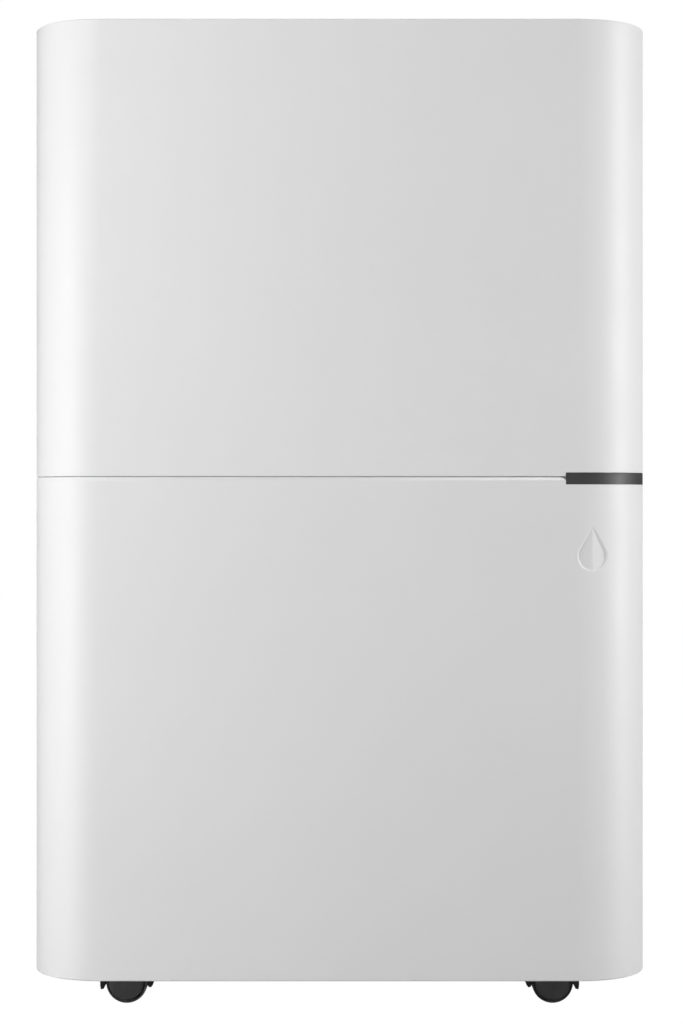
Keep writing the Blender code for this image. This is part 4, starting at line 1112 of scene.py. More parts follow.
net = line_piece("filter_net", threads, THREAD, 0)
net_nylon = moulding("net_nylon", (0.05, 0.05, 0.055), 0.45, 900.0, 1e-5, 0.2, dust=0.5)
finished(net, net_nylon, "filter", "filter_mesh")


# ---- Drain and cord gland -----------------------------------------------------------
# A hose nipple with a barb stands in a round recess at the back, closed by a ribbed cap.

mid_grey = moulding("mid_grey", (0.27, 0.275, 0.28), 0.5, 1300.0, 3e-5, 0.08, dust=0.15, sheen=0.4)
soft_black = moulding("soft_black", (0.022, 0.022, 0.023), 0.48, 1300.0, 3e-5, 0.3, dust=0.25, sheen=0.5)
drain_at = (drain_x, 0, drain_z)
cup_floor, cup_face = drain_low.y, drain_high.y
recess_profile = [
    (0.0083, cup_floor), (drain_radius, cup_floor), (drain_radius, cup_face - 0.0005),
    (drain_radius - 0.0003, cup_face), (0.0152, cup_face), (0.0148, cup_face - 0.0005),
    (0.0146, cup_floor + 0.0045), (0.0134, cup_floor + 0.003), (0.0083, cup_floor + 0.003),
]
recess = turned("drain_cup", recess_profile, drain_at, "Y", ring=True)
finished(recess, mid_grey, "cabinet", "grey_plastic", "drain_recess")
spout_low, spout_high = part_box("drain_spout")
tip = spout_high.y
nipple_profile = [
    (0.0055, spout_low.y), (0.0080, spout_low.y), (0.0080, tip - 0.0095), (0.0074, tip - 0.0090),
    (0.0074, tip - 0.0060), (0.0080, tip - 0.0055), (0.0080, tip - 0.0045), (0.0068, tip - 0.0004),
    (0.0064, tip), (0.0058, tip), (0.0055, tip - 0.0004),
]
nipple = turned("drain_nipple", nipple_profile, drain_at, "Y", ring=True)
finished(nipple, mid_grey, "cabinet", "grey_plastic", "drain_spout")

cap_low, cap_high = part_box("drain_cap")
CAP_RADIUS, CAP_BORE, GRIP_RIBS = 0.0105, 0.0084, 24
cap_edge = []
for i in range(GRIP_RIBS * 4):
    a = 2 * math.pi * i / (GRIP_RIBS * 4)
    r = CAP_RADIUS - (0.0006 if i % 4 in (2, 3) else 0.0)
    cap_edge.append((drain_x + r * math.cos(a), drain_z + r * math.sin(a)))
cap_bore = circle(drain_x, drain_z, CAP_BORE)
barrel = sheet_piece("cap_barrel", [cap_edge, cap_bore], cap_low.y, cap_high.y - 0.002, "Y", 0.0003)
crown_profile = [
    (0, cap_high.y - 0.0003), (0.0070, cap_high.y - 0.0003), (0.0078, cap_high.y), (0.0096, cap_high.y),
    (0.0101, cap_high.y - 0.0006), (0.0101, cap_high.y - 0.0024), (0, cap_high.y - 0.0024),
]
crown = turned("cap_crown", crown_profile, drain_at, "Y")
cap = joined("hose_cap", [barrel, crown])
finished(cap, soft_black, "drain_cap", "dark_plastic", "drain_cap")

gland_back = gland_high.y
gland_profile = [
    (0.0038, gland_low.y), (0.0096, gland_low.y), (0.0100, gland_low.y + 0.0005),
    (0.0100, 0.1314), (0.0096, 0.1318), (GLAND_NECK, 0.1320), (GLAND_NECK, gland_back - 0.0008),
    (GLAND_NECK - 0.0006, gland_back), (0.0046, gland_back), (0.0038, gland_back - 0.0010),
]
gland = turned("cable_gland", gland_profile, (gland_x, 0, gland_z), "Y", ring=True)
moulded_rubber = moulding("moulded_rubber", (0.02, 0.02, 0.02), 0.75, 800.0, 5e-5, 0.3, dust=0.4)
finished(gland, moulded_rubber, "cabinet", "rubber", "cord_gland")

# Cross-headed screws hold the housing to the base pan and the internal frame.
SCREW_RADIUS = 0.0032
SCREW_ARM, SCREW_SLOT, SCREW_DEPTH = 0.0019, 0.00045, 0.0009
SCREW_PLACES = [(x, z) for z in (0.060, 0.330, 0.600) for x in (-0.170, 0.170)]
zinc = bpy.data.materials.new("zinc_screws")
tree, shader, _ = shader_nodes(zinc)
fine = noise(tree, 1200.0, 3.0)
mottled = blended(tree, rescaled(tree, fine, -1.0, 1.0, 0.3, 0.7), (0.40, 0.40, 0.41), (0.62, 0.62, 0.61))
tree.links.new(mottled, shader.inputs["Base Color"])
shader.inputs["Metallic"].default_value = 1.0
shader.inputs["Roughness"].default_value = 0.34
bumped(tree, shader, fine, 1e-5)
face = BACK_Y - 0.0003
head_profile = [
    (0, face), (SCREW_RADIUS - 0.0010, face), (SCREW_RADIUS, face - SCREW_DEPTH),
    (SCREW_RADIUS, face - 0.0014), (0, face - 0.0014),
]
for i, (x, z) in enumerate(SCREW_PLACES):
    head = turned(f"back_screw_{i + 1}", head_profile, (x, 0, z), "Y", steps=32)
    cross = []
    for name, wide, tall in (("cross_a", SCREW_ARM, SCREW_SLOT), ("cross_b", SCREW_SLOT, SCREW_ARM)):
        low, high = (x - wide, face - SCREW_DEPTH, z - tall), (x + wide, face + 0.01, z + tall)
        cross.append(crate(name, low, high))
    finished(cut(head, *cross), zinc, "cabinet", "steel")


# ---- Bucket -------------------------------------------------------------------------
# A translucent polypropylene tank with drafted walls, a rolled rim and two stiffening
# steps, under a thin lid with a water inlet and a corner to pour from.

TANK_TOP = 0.262
TANK_FRONT_RADIUS, TANK_REAR_RADIUS = 0.034, 0.015
LOWER_STEP, UPPER_STEP, STEP_RISE = 0.120, 0.200, 0.002
HANDLE_Y, HANDLE_Z = -0.068, 0.2725
LUG_HALF, LUG_FOOT, LUG_TOP = 0.008, 0.256, 0.280
LUG_INNER, LUG_OUTER, LUG_BORE = 0.1645, 0.1680, 0.0028
tank_low, tank_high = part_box("bucket")
floor_z = tank_low.z


def tank_outline(inset):
    """The tank's plan, this far inside its outer faces."""
    return two_radius_box(
        tank_high.x - inset,
        tank_low.y + inset,
        tank_high.y - inset,
        TANK_FRONT_RADIUS - inset,
        TANK_REAR_RADIUS - inset,
        5.0,
    )


def lofted(name, section, outline):
    """A vessel from a section of (inset, height), outer floor to inner floor."""
    work = bmesh.new()
    rings = [[work.verts.new((x, y, z)) for x, y in outline(inset)] for inset, z in section]
    work.faces.new(rings[0][::-1])
    work.faces.new(rings[-1])
    for lower, upper in zip(rings, rings[1:]):
        for i in range(len(lower)):
            k = (i + 1) % len(lower)
            work.faces.new((lower[i], lower[k], upper[k], upper[i]))
    return mesh_piece(name, work)


tank_outside = [
    (0.0105, floor_z), (0.0075, floor_z + 0.0006), (0.0058, floor_z + 0.0022),
    (0.0050, floor_z + 0.005), (0.0036, LOWER_STEP), (0.0030, LOWER_STEP + STEP_RISE),
    (0.0022, UPPER_STEP), (0.0016, UPPER_STEP + STEP_RISE), (0.0012, TANK_TOP - 0.006),
    (0.0012, TANK_TOP - 0.0045), (0.0003, TANK_TOP - 0.0040), (0.0001, TANK_TOP - 0.0008),
    (0.0006, TANK_TOP),
]
tank_inside = [
    (0.0030, TANK_TOP), (0.0034, TANK_TOP - 0.0006), (0.0040, UPPER_STEP + STEP_RISE),
    (0.0052, LOWER_STEP + STEP_RISE), (0.0064, floor_z + 0.010), (0.0085, floor_z + 0.005),
    (0.0125, floor_z + 0.0026),
]
tank = lofted("tank_shell", tank_outside + tank_inside, tank_outline)
lug_round = LUG_HALF - 0.0001
lug = rounded(
    [
        (HANDLE_Y - LUG_HALF, LUG_FOOT, 0.001), (HANDLE_Y + LUG_HALF, LUG_FOOT, 0.001),
        (HANDLE_Y + LUG_HALF, LUG_TOP, lug_round), (HANDLE_Y - LUG_HALF, LUG_TOP, lug_round),
    ]
)
lug_hole = circle(HANDLE_Y, HANDLE_Z, LUG_BORE, 32)
lugs = []
for side in (-1, 1):
    span = sorted((side * LUG_INNER, side * LUG_OUTER))
    lugs.append(sheet_piece("lug", [lug, lug_hole], *span, "X", 0.0005))
tank = joined("water_tank", [tank, *lugs])


def translucent(name, colour, roughness):
    """Milky polypropylene: light passes in and scatters, flow marks cloud it, and a painted sheen makes its
    edges paler.
    """
    material = bpy.data.materials.new(name)
    tree, shader, _ = shader_nodes(material)
    surface = skinned(tree, colour, 900.0, 0.06, roughness, 0.15)
    flow = rescaled(tree, noise(tree, 14.0, 4.0, stretch=(1, 1, 0.3)), -1.0, 1.0, 0.35, 0.65)
    # Painted sheen: convex edges are blended towards a paler milky white, as a highlight.
    translucent_sheen = placed(tree, edge_sheen, amount=0.8)
    clouded = blended(tree, flow, surface.outputs["Color"], tuple(c * 0.94 for c in colour))
    milk_and_sheen = blended(tree, translucent_sheen.outputs["Mask"], clouded, (0.9, 0.92, 0.93))
    tree.links.new(milk_and_sheen, shader.inputs["Base Color"])
    tree.links.new(surface.outputs["Roughness"], shader.inputs["Roughness"])
    shader.inputs["Transmission Weight"].default_value = 0.45
    shader.inputs["IOR"].default_value = 1.35
    shader.inputs["Subsurface Weight"].default_value = 0.2
    shader.inputs["Subsurface Scale"].default_value = 0.004
    bumped(tree, shader, surface.outputs["Height"], 3e-5)
    return material


milky = translucent("milky_plastic", (0.72, 0.75, 0.77), 0.42)
finished(tank, milky, "bucket", "bucket_plastic", "bucket")

# The lid: a sheet with a raised rib inside its edge and another round the inlet.
LID_HALF, LID_FRONT, LID_BACK, LID_FACE = 0.164, -0.129, -0.007, 0.2650
LID_FRONT_RADIUS, LID_REAR_RADIUS = 0.030, 0.012
RIB_INSET, RIB_WIDTH, RIB_ROOT, RIB_RISE, INLET_RISE = 0.0060, 0.0015, 0.0003, 0.0009, 0.0014
lid_edge = two_radius_box(LID_HALF, LID_FRONT, LID_BACK, LID_FRONT_RADIUS, LID_REAR_RADIUS)
inlet = rounded_box(-0.030, 0.030, -0.050, -0.014, 0.006)
spout_hole = rounded_box(-0.150, -0.095, -0.118, -0.090, 0.008)
lid_sheet = sheet_piece("lid_sheet", [lid_edge, inlet, spout_hole], TANK_TOP + 0.0005, LID_FACE, ease=0.0007)
lid_ribs = [
    two_radius_box(LID_HALF - inset, LID_FRONT + inset, LID_BACK - inset, 0.031 - inset, 0.014 - inset)
    for inset in (RIB_INSET, RIB_INSET + RIB_WIDTH)
]
lid_rib = sheet_piece("lid_rib", lid_ribs, LID_FACE - RIB_ROOT, LID_FACE + RIB_RISE, ease=0.0004)
inlet_edges = [
    rounded_box(-0.0325, 0.0325, -0.0525, -0.0153, 0.008),
    rounded_box(-0.0305, 0.0305, -0.0505, -0.0165, 0.006),
]
inlet_rib = sheet_piece("inlet_rib", inlet_edges, LID_FACE - RIB_ROOT, LID_FACE + INLET_RISE, ease=0.0004)

# Two hangers below the lid carry the float's pin.
FLOAT_X, FLOAT_Y, FLOAT_Z = 0.102, -0.090, 0.243
HANGER_HALF, HANGER_THICK, HANGER_BORE = 0.005, 0.002, 0.0023
hanger = rounded_box(
    FLOAT_Y - HANGER_HALF, FLOAT_Y + HANGER_HALF, FLOAT_Z - HANGER_HALF, TANK_TOP + 0.0008, 0.0008
)
hanger_hole = circle(FLOAT_Y, FLOAT_Z, HANGER_BORE, 32)
hangers = []
for x in (FLOAT_X - 0.017, FLOAT_X + 0.015):
    hangers.append(sheet_piece("hanger", [hanger, hanger_hole], x, x + HANGER_THICK, "X", 0.0003))
tank_lid = joined("tank_lid", [lid_sheet, lid_rib, inlet_rib, *hangers])
finished(tank_lid, milky, "bucket", "bucket_plastic", "bucket_lid")

# The bail: a bent bar with a moulded sleeve to hold, on pins in the tank's lugs.
PIVOT_X, REACH, BAR_RADIUS, BEND = 0.158, 0.052, 0.004, 0.012
SLEEVE_RADIUS, SLEEVE_END_RADIUS, SLEEVE_HALF = 0.0052, 0.0046, 0.048
GROOVES, GROOVE_PITCH, GROOVE_RADIUS = 17, 0.0055, 0.0048


def bent(corners, radius, steps=10):
    """A route through the corners, with an arc of this radius at each inner one."""
    points = [Vector(corners[0])]
    for before, here, after in zip(corners, corners[1:], corners[2:]):
        here = Vector(here)
        back = (Vector(before) - here).normalized()
        ahead = (Vector(after) - here).normalized()
        half = back.angle(ahead) / 2
        centre = here + (back + ahead).normalized() * (radius / math.sin(half))
        start = here + back * (radius / math.tan(half)) - centre
        turn = -(math.pi - 2 * half)
        axis = back.cross(ahead)
        for k in range(steps + 1):
            points.append(centre + Matrix.Rotation(turn * k / steps, 3, axis) @ start)
    return points + [Vector(corners[-1])]


bail_y = HANDLE_Y + REACH
bail_route = [
    (-PIVOT_X, HANDLE_Y, HANDLE_Z), (-PIVOT_X, bail_y, HANDLE_Z),
    (PIVOT_X, bail_y, HANDLE_Z), (PIVOT_X, HANDLE_Y, HANDLE_Z),
]
bar = line_piece("bail_bar", [bent(bail_route, BEND)], BAR_RADIUS, 4)
sleeve_end = [(0, SLEEVE_HALF), (SLEEVE_END_RADIUS, SLEEVE_HALF), (SLEEVE_RADIUS, SLEEVE_HALF - 0.0006)]
sleeve_profile = [(radius, -h) for radius, h in sleeve_end]
for i in range(GROOVES):
    h = GROOVE_PITCH * (i - (GROOVES - 1) / 2)
    sleeve_profile += [(SLEEVE_RADIUS, h - 0.0012), (GROOVE_RADIUS, h - 0.0004)]
    sleeve_profile += [(GROOVE_RADIUS, h + 0.0004), (SLEEVE_RADIUS, h + 0.0012)]
sleeve_profile += sleeve_end[::-1]
sleeve = turned("bail_sleeve", sleeve_profile, (0, bail_y, HANDLE_Z), "X", steps=32)
eye_profile = [
    (0, -0.0045), (0.0050, -0.0045), (0.0056, -0.0039), (0.0056, 0.0039), (0.0050, 0.0045),
    (0.0025, 0.0045), (0.0025, 0.0089), (0.0021, 0.0093), (0, 0.0093),
]
eyes = []
for side in (-1, 1):
    eye = [(radius, side * h) for radius, h in eye_profile]
    eyes.append(turned("bail_eye", eye, (side * PIVOT_X, HANDLE_Y, HANDLE_Z), "X", steps=32))
bail = joined("bucket_bail", [bar, sleeve, *eyes])
finished(bail, mid_grey, "bucket_handle", "grey_plastic", "bucket_handle")

# The float: closed-cell foam on a pivoting arm below the lid.
FOAM_Y, FOAM_HALF, FOAM_TOP = -0.050, 0.020, 0.230
POST_HALF, ARM_HALF, PIN_HALF, PIN_RADIUS = 0.004, 0.006, 0.018, 0.0020
float_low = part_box("float")[0]


def float_block(name, half, front, back, bottom, top):
    """A block of the float, the same width to both sides of its middle."""
    return crate(name, (FLOAT_X - half, front, bottom), (FLOAT_X + half, back, top))


foam = float_block("foam", FOAM_HALF, FOAM_Y - FOAM_HALF, FOAM_Y + FOAM_HALF, float_low.z, FOAM_TOP)
post_low, post_high = FOAM_TOP - 0.002, FLOAT_Z + 0.0015
post = float_block("post", POST_HALF, FOAM_Y - POST_HALF, FOAM_Y + POST_HALF, post_low, post_high)
arm = float_block("arm", ARM_HALF, FLOAT_Y - 0.003, FOAM_Y + 0.005, FLOAT_Z - 0.0025, FLOAT_Z + 0.0025)
pin_ends = [(FLOAT_X - PIN_HALF, FLOAT_Y, FLOAT_Z), (FLOAT_X + PIN_HALF, FLOAT_Y, FLOAT_Z)]
pin = line_piece("pin", [pin_ends], PIN_RADIUS, 4)
float_piece = joined("level_float", [eased(foam, 0.004, 4), eased(post, 0.0008), eased(arm, 0.0008), pin])
foam_white = bpy.data.materials.new("foam_white")
tree, shader, _ = shader_nodes(foam_white)
beads = tree.nodes.new("ShaderNodeTexVoronoi")
beads.inputs["Scale"].default_value = 520.0
tree.links.new(tree.nodes.new("ShaderNodeTexCoord").outputs["Object"], beads.inputs["Vector"])
beaded = blended(tree, beads.outputs["Distance"], (0.86, 0.86, 0.85), (0.66, 0.66, 0.64))
tree.links.new(beaded, shader.inputs["Base Color"])
tree.links.new(rescaled(tree, noise(tree, 40.0), 0.65, 0.85), shader.inputs["Roughness"])
bumped(tree, shader, beads.outputs["Distance"], 1.5e-4)
finished(float_piece, foam_white, "float", "float_foam", "float")


# ---- Casters ------------------------------------------------------------------------
# Each has a hood on an upright stem. The hood's fender curves over a pair of wheels that
# turn together on a steel axle, and its outer end is stepped to a narrow tip.

CASTER_X, TRAIL = 0.144, 0.007
WHEEL_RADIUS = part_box("caster_wheel_front_left")[1].z / 2
HOOD_OUTER, HOOD_INNER, HOOD_HALF = 0.0170, WHEEL_RADIUS + 0.0004, 0.0118
HOOD_MIDDLE = (HOOD_OUTER + HOOD_INNER) / 2
TIP_ANGLE, LEDGE_ANGLE, INNER_ANGLE = -14, -7, 190
WEB_HALF = 0.0014
WHEEL_FACE, WHEEL_GROOVE = 0.0111, 0.0096

nylon = moulding("caster_nylon", (0.012, 0.012, 0.0125), 0.42, 1600.0, 2e-5, 0.3, dust=0.25, sheen=0.6)


def wheel_tread(name):
    """Grey moulded tyre plastic: fine scuffs with dust worked into them, and a painted sheen that makes the
    edges round its rims paler.
    """
    material = bpy.data.materials.new(name)
    tree, shader, _ = shader_nodes(material)
    surface = skinned(tree, (0.13, 0.13, 0.132), 1100.0, 0.35, 0.42, 0.25)
    scuffs = rescaled(tree, noise(tree, 160.0, 5.0, stretch=(1, 6, 1)), -1.0, 1.0, 0.5, 0.75)
    grubby = blended(tree, times(tree, scuffs, 0.25), surface.outputs["Color"], (0.24, 0.235, 0.22))
    # Painted sheen: the rounded rims and edges are blended towards a paler grey, as a highlight.
    painted_sheen = placed(tree, edge_sheen, amount=0.5, breakup=200.0)
    sheen_grey = blended(tree, painted_sheen.outputs["Mask"], grubby, (0.30, 0.30, 0.30))
    tree.links.new(sheen_grey, shader.inputs["Base Color"])
    tree.links.new(surface.outputs["Roughness"], shader.inputs["Roughness"])
    bumped(tree, shader, surface.outputs["Height"], 3e-5)
    return material


tread = wheel_tread("wheel_tread")


def round_hub(radius, degrees):
    """A place round the wheel's axis, by its distance from it and its angle."""
    a = math.radians(degrees)
    return radius * math.cos(a), radius * math.sin(a)


def fender_outline(hub, side):
    """The fender's side view: a band over the wheel whose ends stop above the floor."""
    over = INNER_ANGLE - 6 - TIP_ANGLE
    under = INNER_ANGLE - 5 - LEDGE_ANGLE
    band = [round_hub(HOOD_OUTER, TIP_ANGLE + over * i / 60) for i in range(61)]
    band += [round_hub(HOOD_MIDDLE + 0.0007, INNER_ANGLE), round_hub(HOOD_MIDDLE - 0.0009, INNER_ANGLE)]
    band += [round_hub(HOOD_INNER, INNER_ANGLE - 5 - under * i / 60) for i in range(61)]
    band += [round_hub(HOOD_INNER + 0.0012, LEDGE_ANGLE), round_hub(HOOD_INNER + 0.0014, TIP_ANGLE)]
    placed_band = [(hub + side * px, WHEEL_RADIUS + pz) for px, pz in band]
    return placed_band if side > 0 else placed_band[::-1]


def caster_hood(name, x, y, side, body):
    """A fender, the web inside it and the stem above it, in one moulding."""
    hub = x - side * TRAIL
    parts = [sheet_piece("fender", [fender_outline(hub, side)], y - HOOD_HALF, y + HOOD_HALF, "Y", 0.0004)]
    dome = [round_hub(HOOD_INNER + 0.0005, -12 + 200 * i / 32) for i in range(33)]
    web = [(hub + px, WHEEL_RADIUS + pz) for px, pz in dome]
    parts.append(sheet_piece("web", [web], y - WEB_HALF, y + WEB_HALF, "Y", 0.0002))
    stem = [
        (0, 0.0515), (0.0032, 0.0515), (0.0040, 0.0505), (0.0040, 0.0345),
        (0.0065, 0.0330), (0.0065, 0.0276), (0, 0.0276),
    ]
    parts.append(turned("stem", stem, (x, y, 0), steps=32))
    finished(joined(name, parts), nylon, body, "caster_plastic", f"caster_hood_{name[5:]}")


def caster_wheels(name, hub, y, body):
    """Two wheels on one hub: a flat face disc, a groove round it, and a rounded tyre."""
    r, face, groove = WHEEL_RADIUS, WHEEL_FACE, WHEEL_GROOVE
    half = [
        (0, face), (r * 0.79, face), (r * 0.82, face - 0.0002), (r * 0.86, groove + 0.0002),
        (r * 0.88, groove), (r * 0.91, groove), (r * 0.93, groove + 0.0005),
        (r * 0.975, groove + 0.0005), (r - 0.0001, groove), (r, groove - 0.0006),
        (r, 0.0030), (r - 0.0006, 0.0023), (0.0032, 0.0022),
    ]
    profile = half + [(radius, -h) for radius, h in reversed(half)]
    wheels = turned(name, profile, (hub, y, r), "Y", steps=96)
    finished(wheels, tread, body, "caster_tread", f"caster_wheel_{name[7:]}")
    cap = [(0.0015, 0.0103), (0.0012, 0.0106), (0, 0.0106)]
    pin_profile = [(radius, -h) for radius, h in reversed(cap)] + cap
    axle = turned(f"axle_{name[7:]}", pin_profile, (hub, y, r), "Y", steps=24)
    finished(axle, zinc, body, "steel", f"caster_axle_{name[7:]}")


for end in ("front", "rear"):
    first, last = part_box(f"caster_wheel_{end}_left")
    y = (first.y + last.y) / 2
    for side, hand in ((-1, "left"), (1, "right")):
        x = side * CASTER_X
        caster_hood(f"hood_{end}_{hand}", x, y, side, f"caster_{end}_{hand}")
        caster_wheels(f"wheels_{end}_{hand}", x - side * TRAIL, y, f"wheel_{end}_{hand}")


# ---- Refrigerant circuit ------------------------------------------------------------
# A welded compressor can on rubber feet with an accumulator beside it, bright copper
# pipes, and two finned coils whose tubes turn back at the end plates.


def metal(name, colour, low, high, spots, scale, film):
    """A bare metal: drawn streaks in the polish, and darker tarnish in cloudy patches."""
    material = bpy.data.materials.new(name)
    tree, shader, _ = shader_nodes(material)
    streaks = noise(tree, scale, 4.0, stretch=(1, 1, 0.08))
    patches = rescaled(tree, noise(tree, 30.0, 5.0), 0.0, 1.0, 0.45, 0.68)
    tarnished = blended(tree, times(tree, patches, spots), colour, tuple(c * 0.45 for c in colour))
    dust = placed(tree, dusty, amount=film)
    coated = blended(tree, dust.outputs["Mask"], tarnished, (0.5, 0.49, 0.46))
    tree.links.new(coated, shader.inputs["Base Color"])
    tree.links.new(times(tree, 1.0, dust.outputs["Mask"], "SUBTRACT"), shader.inputs["Metallic"])
    tree.links.new(rescaled(tree, streaks, low, high), shader.inputs["Roughness"])
    bumped(tree, shader, streaks, 1.5e-5)
    return material


def enamel(name, colour):
    """Black stoved paint with orange peel, dust on top and scattered rust freckles."""
    material = bpy.data.materials.new(name)
    tree, shader, _ = shader_nodes(material)
    peel = noise(tree, 500.0, 2.0)
    freckles = rescaled(tree, noise(tree, 220.0, 6.0), 0.0, 1.0, 0.66, 0.72)
    spotted = blended(tree, freckles, colour, (0.10, 0.045, 0.02))
    dust = placed(tree, dusty, amount=0.35)
    coated = blended(tree, dust.outputs["Mask"], spotted, (0.35, 0.34, 0.32))
    tree.links.new(coated, shader.inputs["Base Color"])
    tree.links.new(rescaled(tree, peel, 0.28, 0.42), shader.inputs["Roughness"])
    bumped(tree, shader, peel, 5e-5)
    return material


black_paint = enamel("black_enamel", (0.018, 0.018, 0.019))
copper = metal("drawn_copper", (0.72, 0.36, 0.21), 0.18, 0.42, 0.7, 300.0, 0.15)
bright_fins = metal("fin_aluminium", (0.80, 0.81, 0.82), 0.25, 0.5, 0.25, 600.0, 0.2)

CAN_X, CAN_Y, CAN_RADIUS = 0.060, 0.071, 0.046
CAN_FLOOR, CAN_SHOULDER, CAN_TOP = 0.0515, 0.188, 0.216
WELD_RADIUS, WELD_LOW, WELD_HIGH = 0.0452, 0.1180, 0.1225
FOOT_CIRCLE, FOOT_ANGLES, FOOT_SPREAD, FOOT_ROUND = 0.050, (30, 150, 270), 1.37, 0.010
PLATE_LOW, PLATE_HIGH = 0.0500, 0.0530
TERMINAL_RADIUS, TERMINAL_LOW, TERMINAL_HIGH = 0.0095, 0.2050, 0.2150
can_profile = [
    (0, CAN_FLOOR), (0.038, CAN_FLOOR), (0.0435, 0.0530), (CAN_RADIUS, 0.0585),
    (CAN_RADIUS, WELD_LOW), (WELD_RADIUS, WELD_LOW + 0.0010), (WELD_RADIUS, WELD_HIGH - 0.0010),
    (CAN_RADIUS, WELD_HIGH), (CAN_RADIUS, CAN_SHOULDER),
]
for i in range(1, 13):
    a = math.radians(90 * i / 12)
    drawn_in = 0.022 * (1 - math.cos(a)) + 0.012 * math.sin(a)
    can_profile.append((CAN_RADIUS - drawn_in, CAN_SHOULDER + 0.0275 * math.sin(a)))
can_profile.append((0, CAN_TOP))
can_piece = turned("compressor_can", can_profile, (CAN_X, CAN_Y, 0), steps=96)
foot_offsets = []
for angle in FOOT_ANGLES:
    a = math.radians(angle)
    foot_offsets.append((FOOT_CIRCLE * math.cos(a), FOOT_CIRCLE * math.sin(a)))
foot_corners = [(CAN_X + x * FOOT_SPREAD, CAN_Y + y * FOOT_SPREAD, FOOT_ROUND) for x, y in foot_offsets]
foot_plate = sheet_piece("foot_plate", [rounded(foot_corners)], PLATE_LOW, PLATE_HIGH, ease=0.0006)
terminal_profile = [
    (0, TERMINAL_LOW), (TERMINAL_RADIUS, TERMINAL_LOW), (TERMINAL_RADIUS, TERMINAL_HIGH), (0, TERMINAL_HIGH),
]
terminal = turned("terminal_cover", terminal_profile, (CAN_X - 0.020, CAN_Y, 0), steps=32)
nut_profile = [(0, 0.0528), (0.0045, 0.0528), (0.0045, 0.0562), (0.0030, 0.0570), (0, 0.0570)]
nuts = [turned("foot_nut", nut_profile, (CAN_X + x, CAN_Y + y, 0), steps=6) for x, y in foot_offsets]
compressor = joined("compressor_can", [can_piece, foot_plate, terminal, *nuts])
finished(compressor, black_paint, "cabinet", "black_paint", "compressor")

POT_X, POT_Y, STUB_Z = 0.130, 0.075, 0.082
pot_profile = [
    (0, 0.064), (0.010, 0.0645), (0.017, 0.068), (0.0205, 0.074), (0.021, 0.078),
    (0.021, 0.148), (0.0195, 0.154), (0.014, 0.161), (0.009, 0.164), (0, 0.164),
]
stub = line_piece("suction_stub", [[(0.1070, 0.0715, STUB_Z), (0.1145, 0.0715, STUB_Z)]], 0.0044, 4)
accumulator = joined("suction_accumulator", [turned("pot", pot_profile, (POT_X, POT_Y, 0), steps=64), stub])
finished(accumulator, black_paint, "cabinet", "black_paint", "accumulator")

# Copper runs from the can up to the condenser, and from the evaporator to the pot.
COIL_HALF, COIL_BOTTOM, COIL_TOP = 0.140, 0.374, 0.584
FIN_PITCH, FIN_THICK, TUBE_PITCH = 0.0022, 0.0003, 0.024
PLATE_THICK, PLATE_INSET = 0.0012, 0.0001
TUBE_ROWS, TUBE_RADIUS, TUBE_TURN, TUBE_INSET = 8, 0.0034, 0.0119, 0.008
RISER_X, RISER_Y, RISER_Z, CROSSING_Z = 0.169, 0.062, 0.525, 0.300
RETURN_X, RETURN_Y, OUTLET_Z = 0.174, 0.094, 0.382
PIPE_BEND = 0.012
coil_end = COIL_HALF + 0.0008
discharge = [
    (CAN_X, CAN_Y, 0.2165), (CAN_X, CAN_Y, CROSSING_Z), (RISER_X, RISER_Y, CROSSING_Z),
    (RISER_X, RISER_Y, RISER_Z), (coil_end, RISER_Y, RISER_Z),
]
suction = [
    (POT_X, POT_Y, 0.1645), (POT_X, POT_Y, 0.230), (RETURN_X, RETURN_Y, 0.255),
    (RETURN_X, RETURN_Y, OUTLET_Z), (coil_end, RETURN_Y, OUTLET_Z),
]
for name, route, radius in (("discharge_pipe", discharge, 0.0040), ("suction_pipe", suction, 0.0045)):
    pipe = line_piece(name + "_run", [bent(route, PIPE_BEND)], radius, 6)
    finished(pipe, copper, "cabinet", "copper", name)

# The capillary is wound twice round on its way between the two coils.
HELIX_X, HELIX_Y, HELIX_Z, HELIX_RADIUS, HELIX_PITCH = -0.166, 0.080, 0.440, 0.013, 0.0042
helix = []
for i in range(97):
    a = math.pi + 2 * math.pi * i / 48
    x = HELIX_X - HELIX_PITCH * i / 48
    helix.append((x, HELIX_Y + HELIX_RADIUS * math.cos(a), HELIX_Z + HELIX_RADIUS * math.sin(a)))
lead_route = [(-coil_end, 0.060, OUTLET_Z), (-0.1655, 0.060, OUTLET_Z), (-0.1660, 0.067, 0.410), helix[0]]
tail_route = [helix[-1], (-0.1744, 0.068, 0.410), (-0.1720, 0.090, OUTLET_Z), (-coil_end, 0.092, OUTLET_Z)]
lead, tail = bent(lead_route, 0.006), bent(tail_route, 0.006)
capillary = line_piece("capillary_coil", [lead[:-1] + helix + tail[1:]], 0.0011, 3)
finished(capillary, copper, "cabinet", "copper", "capillary_tube")


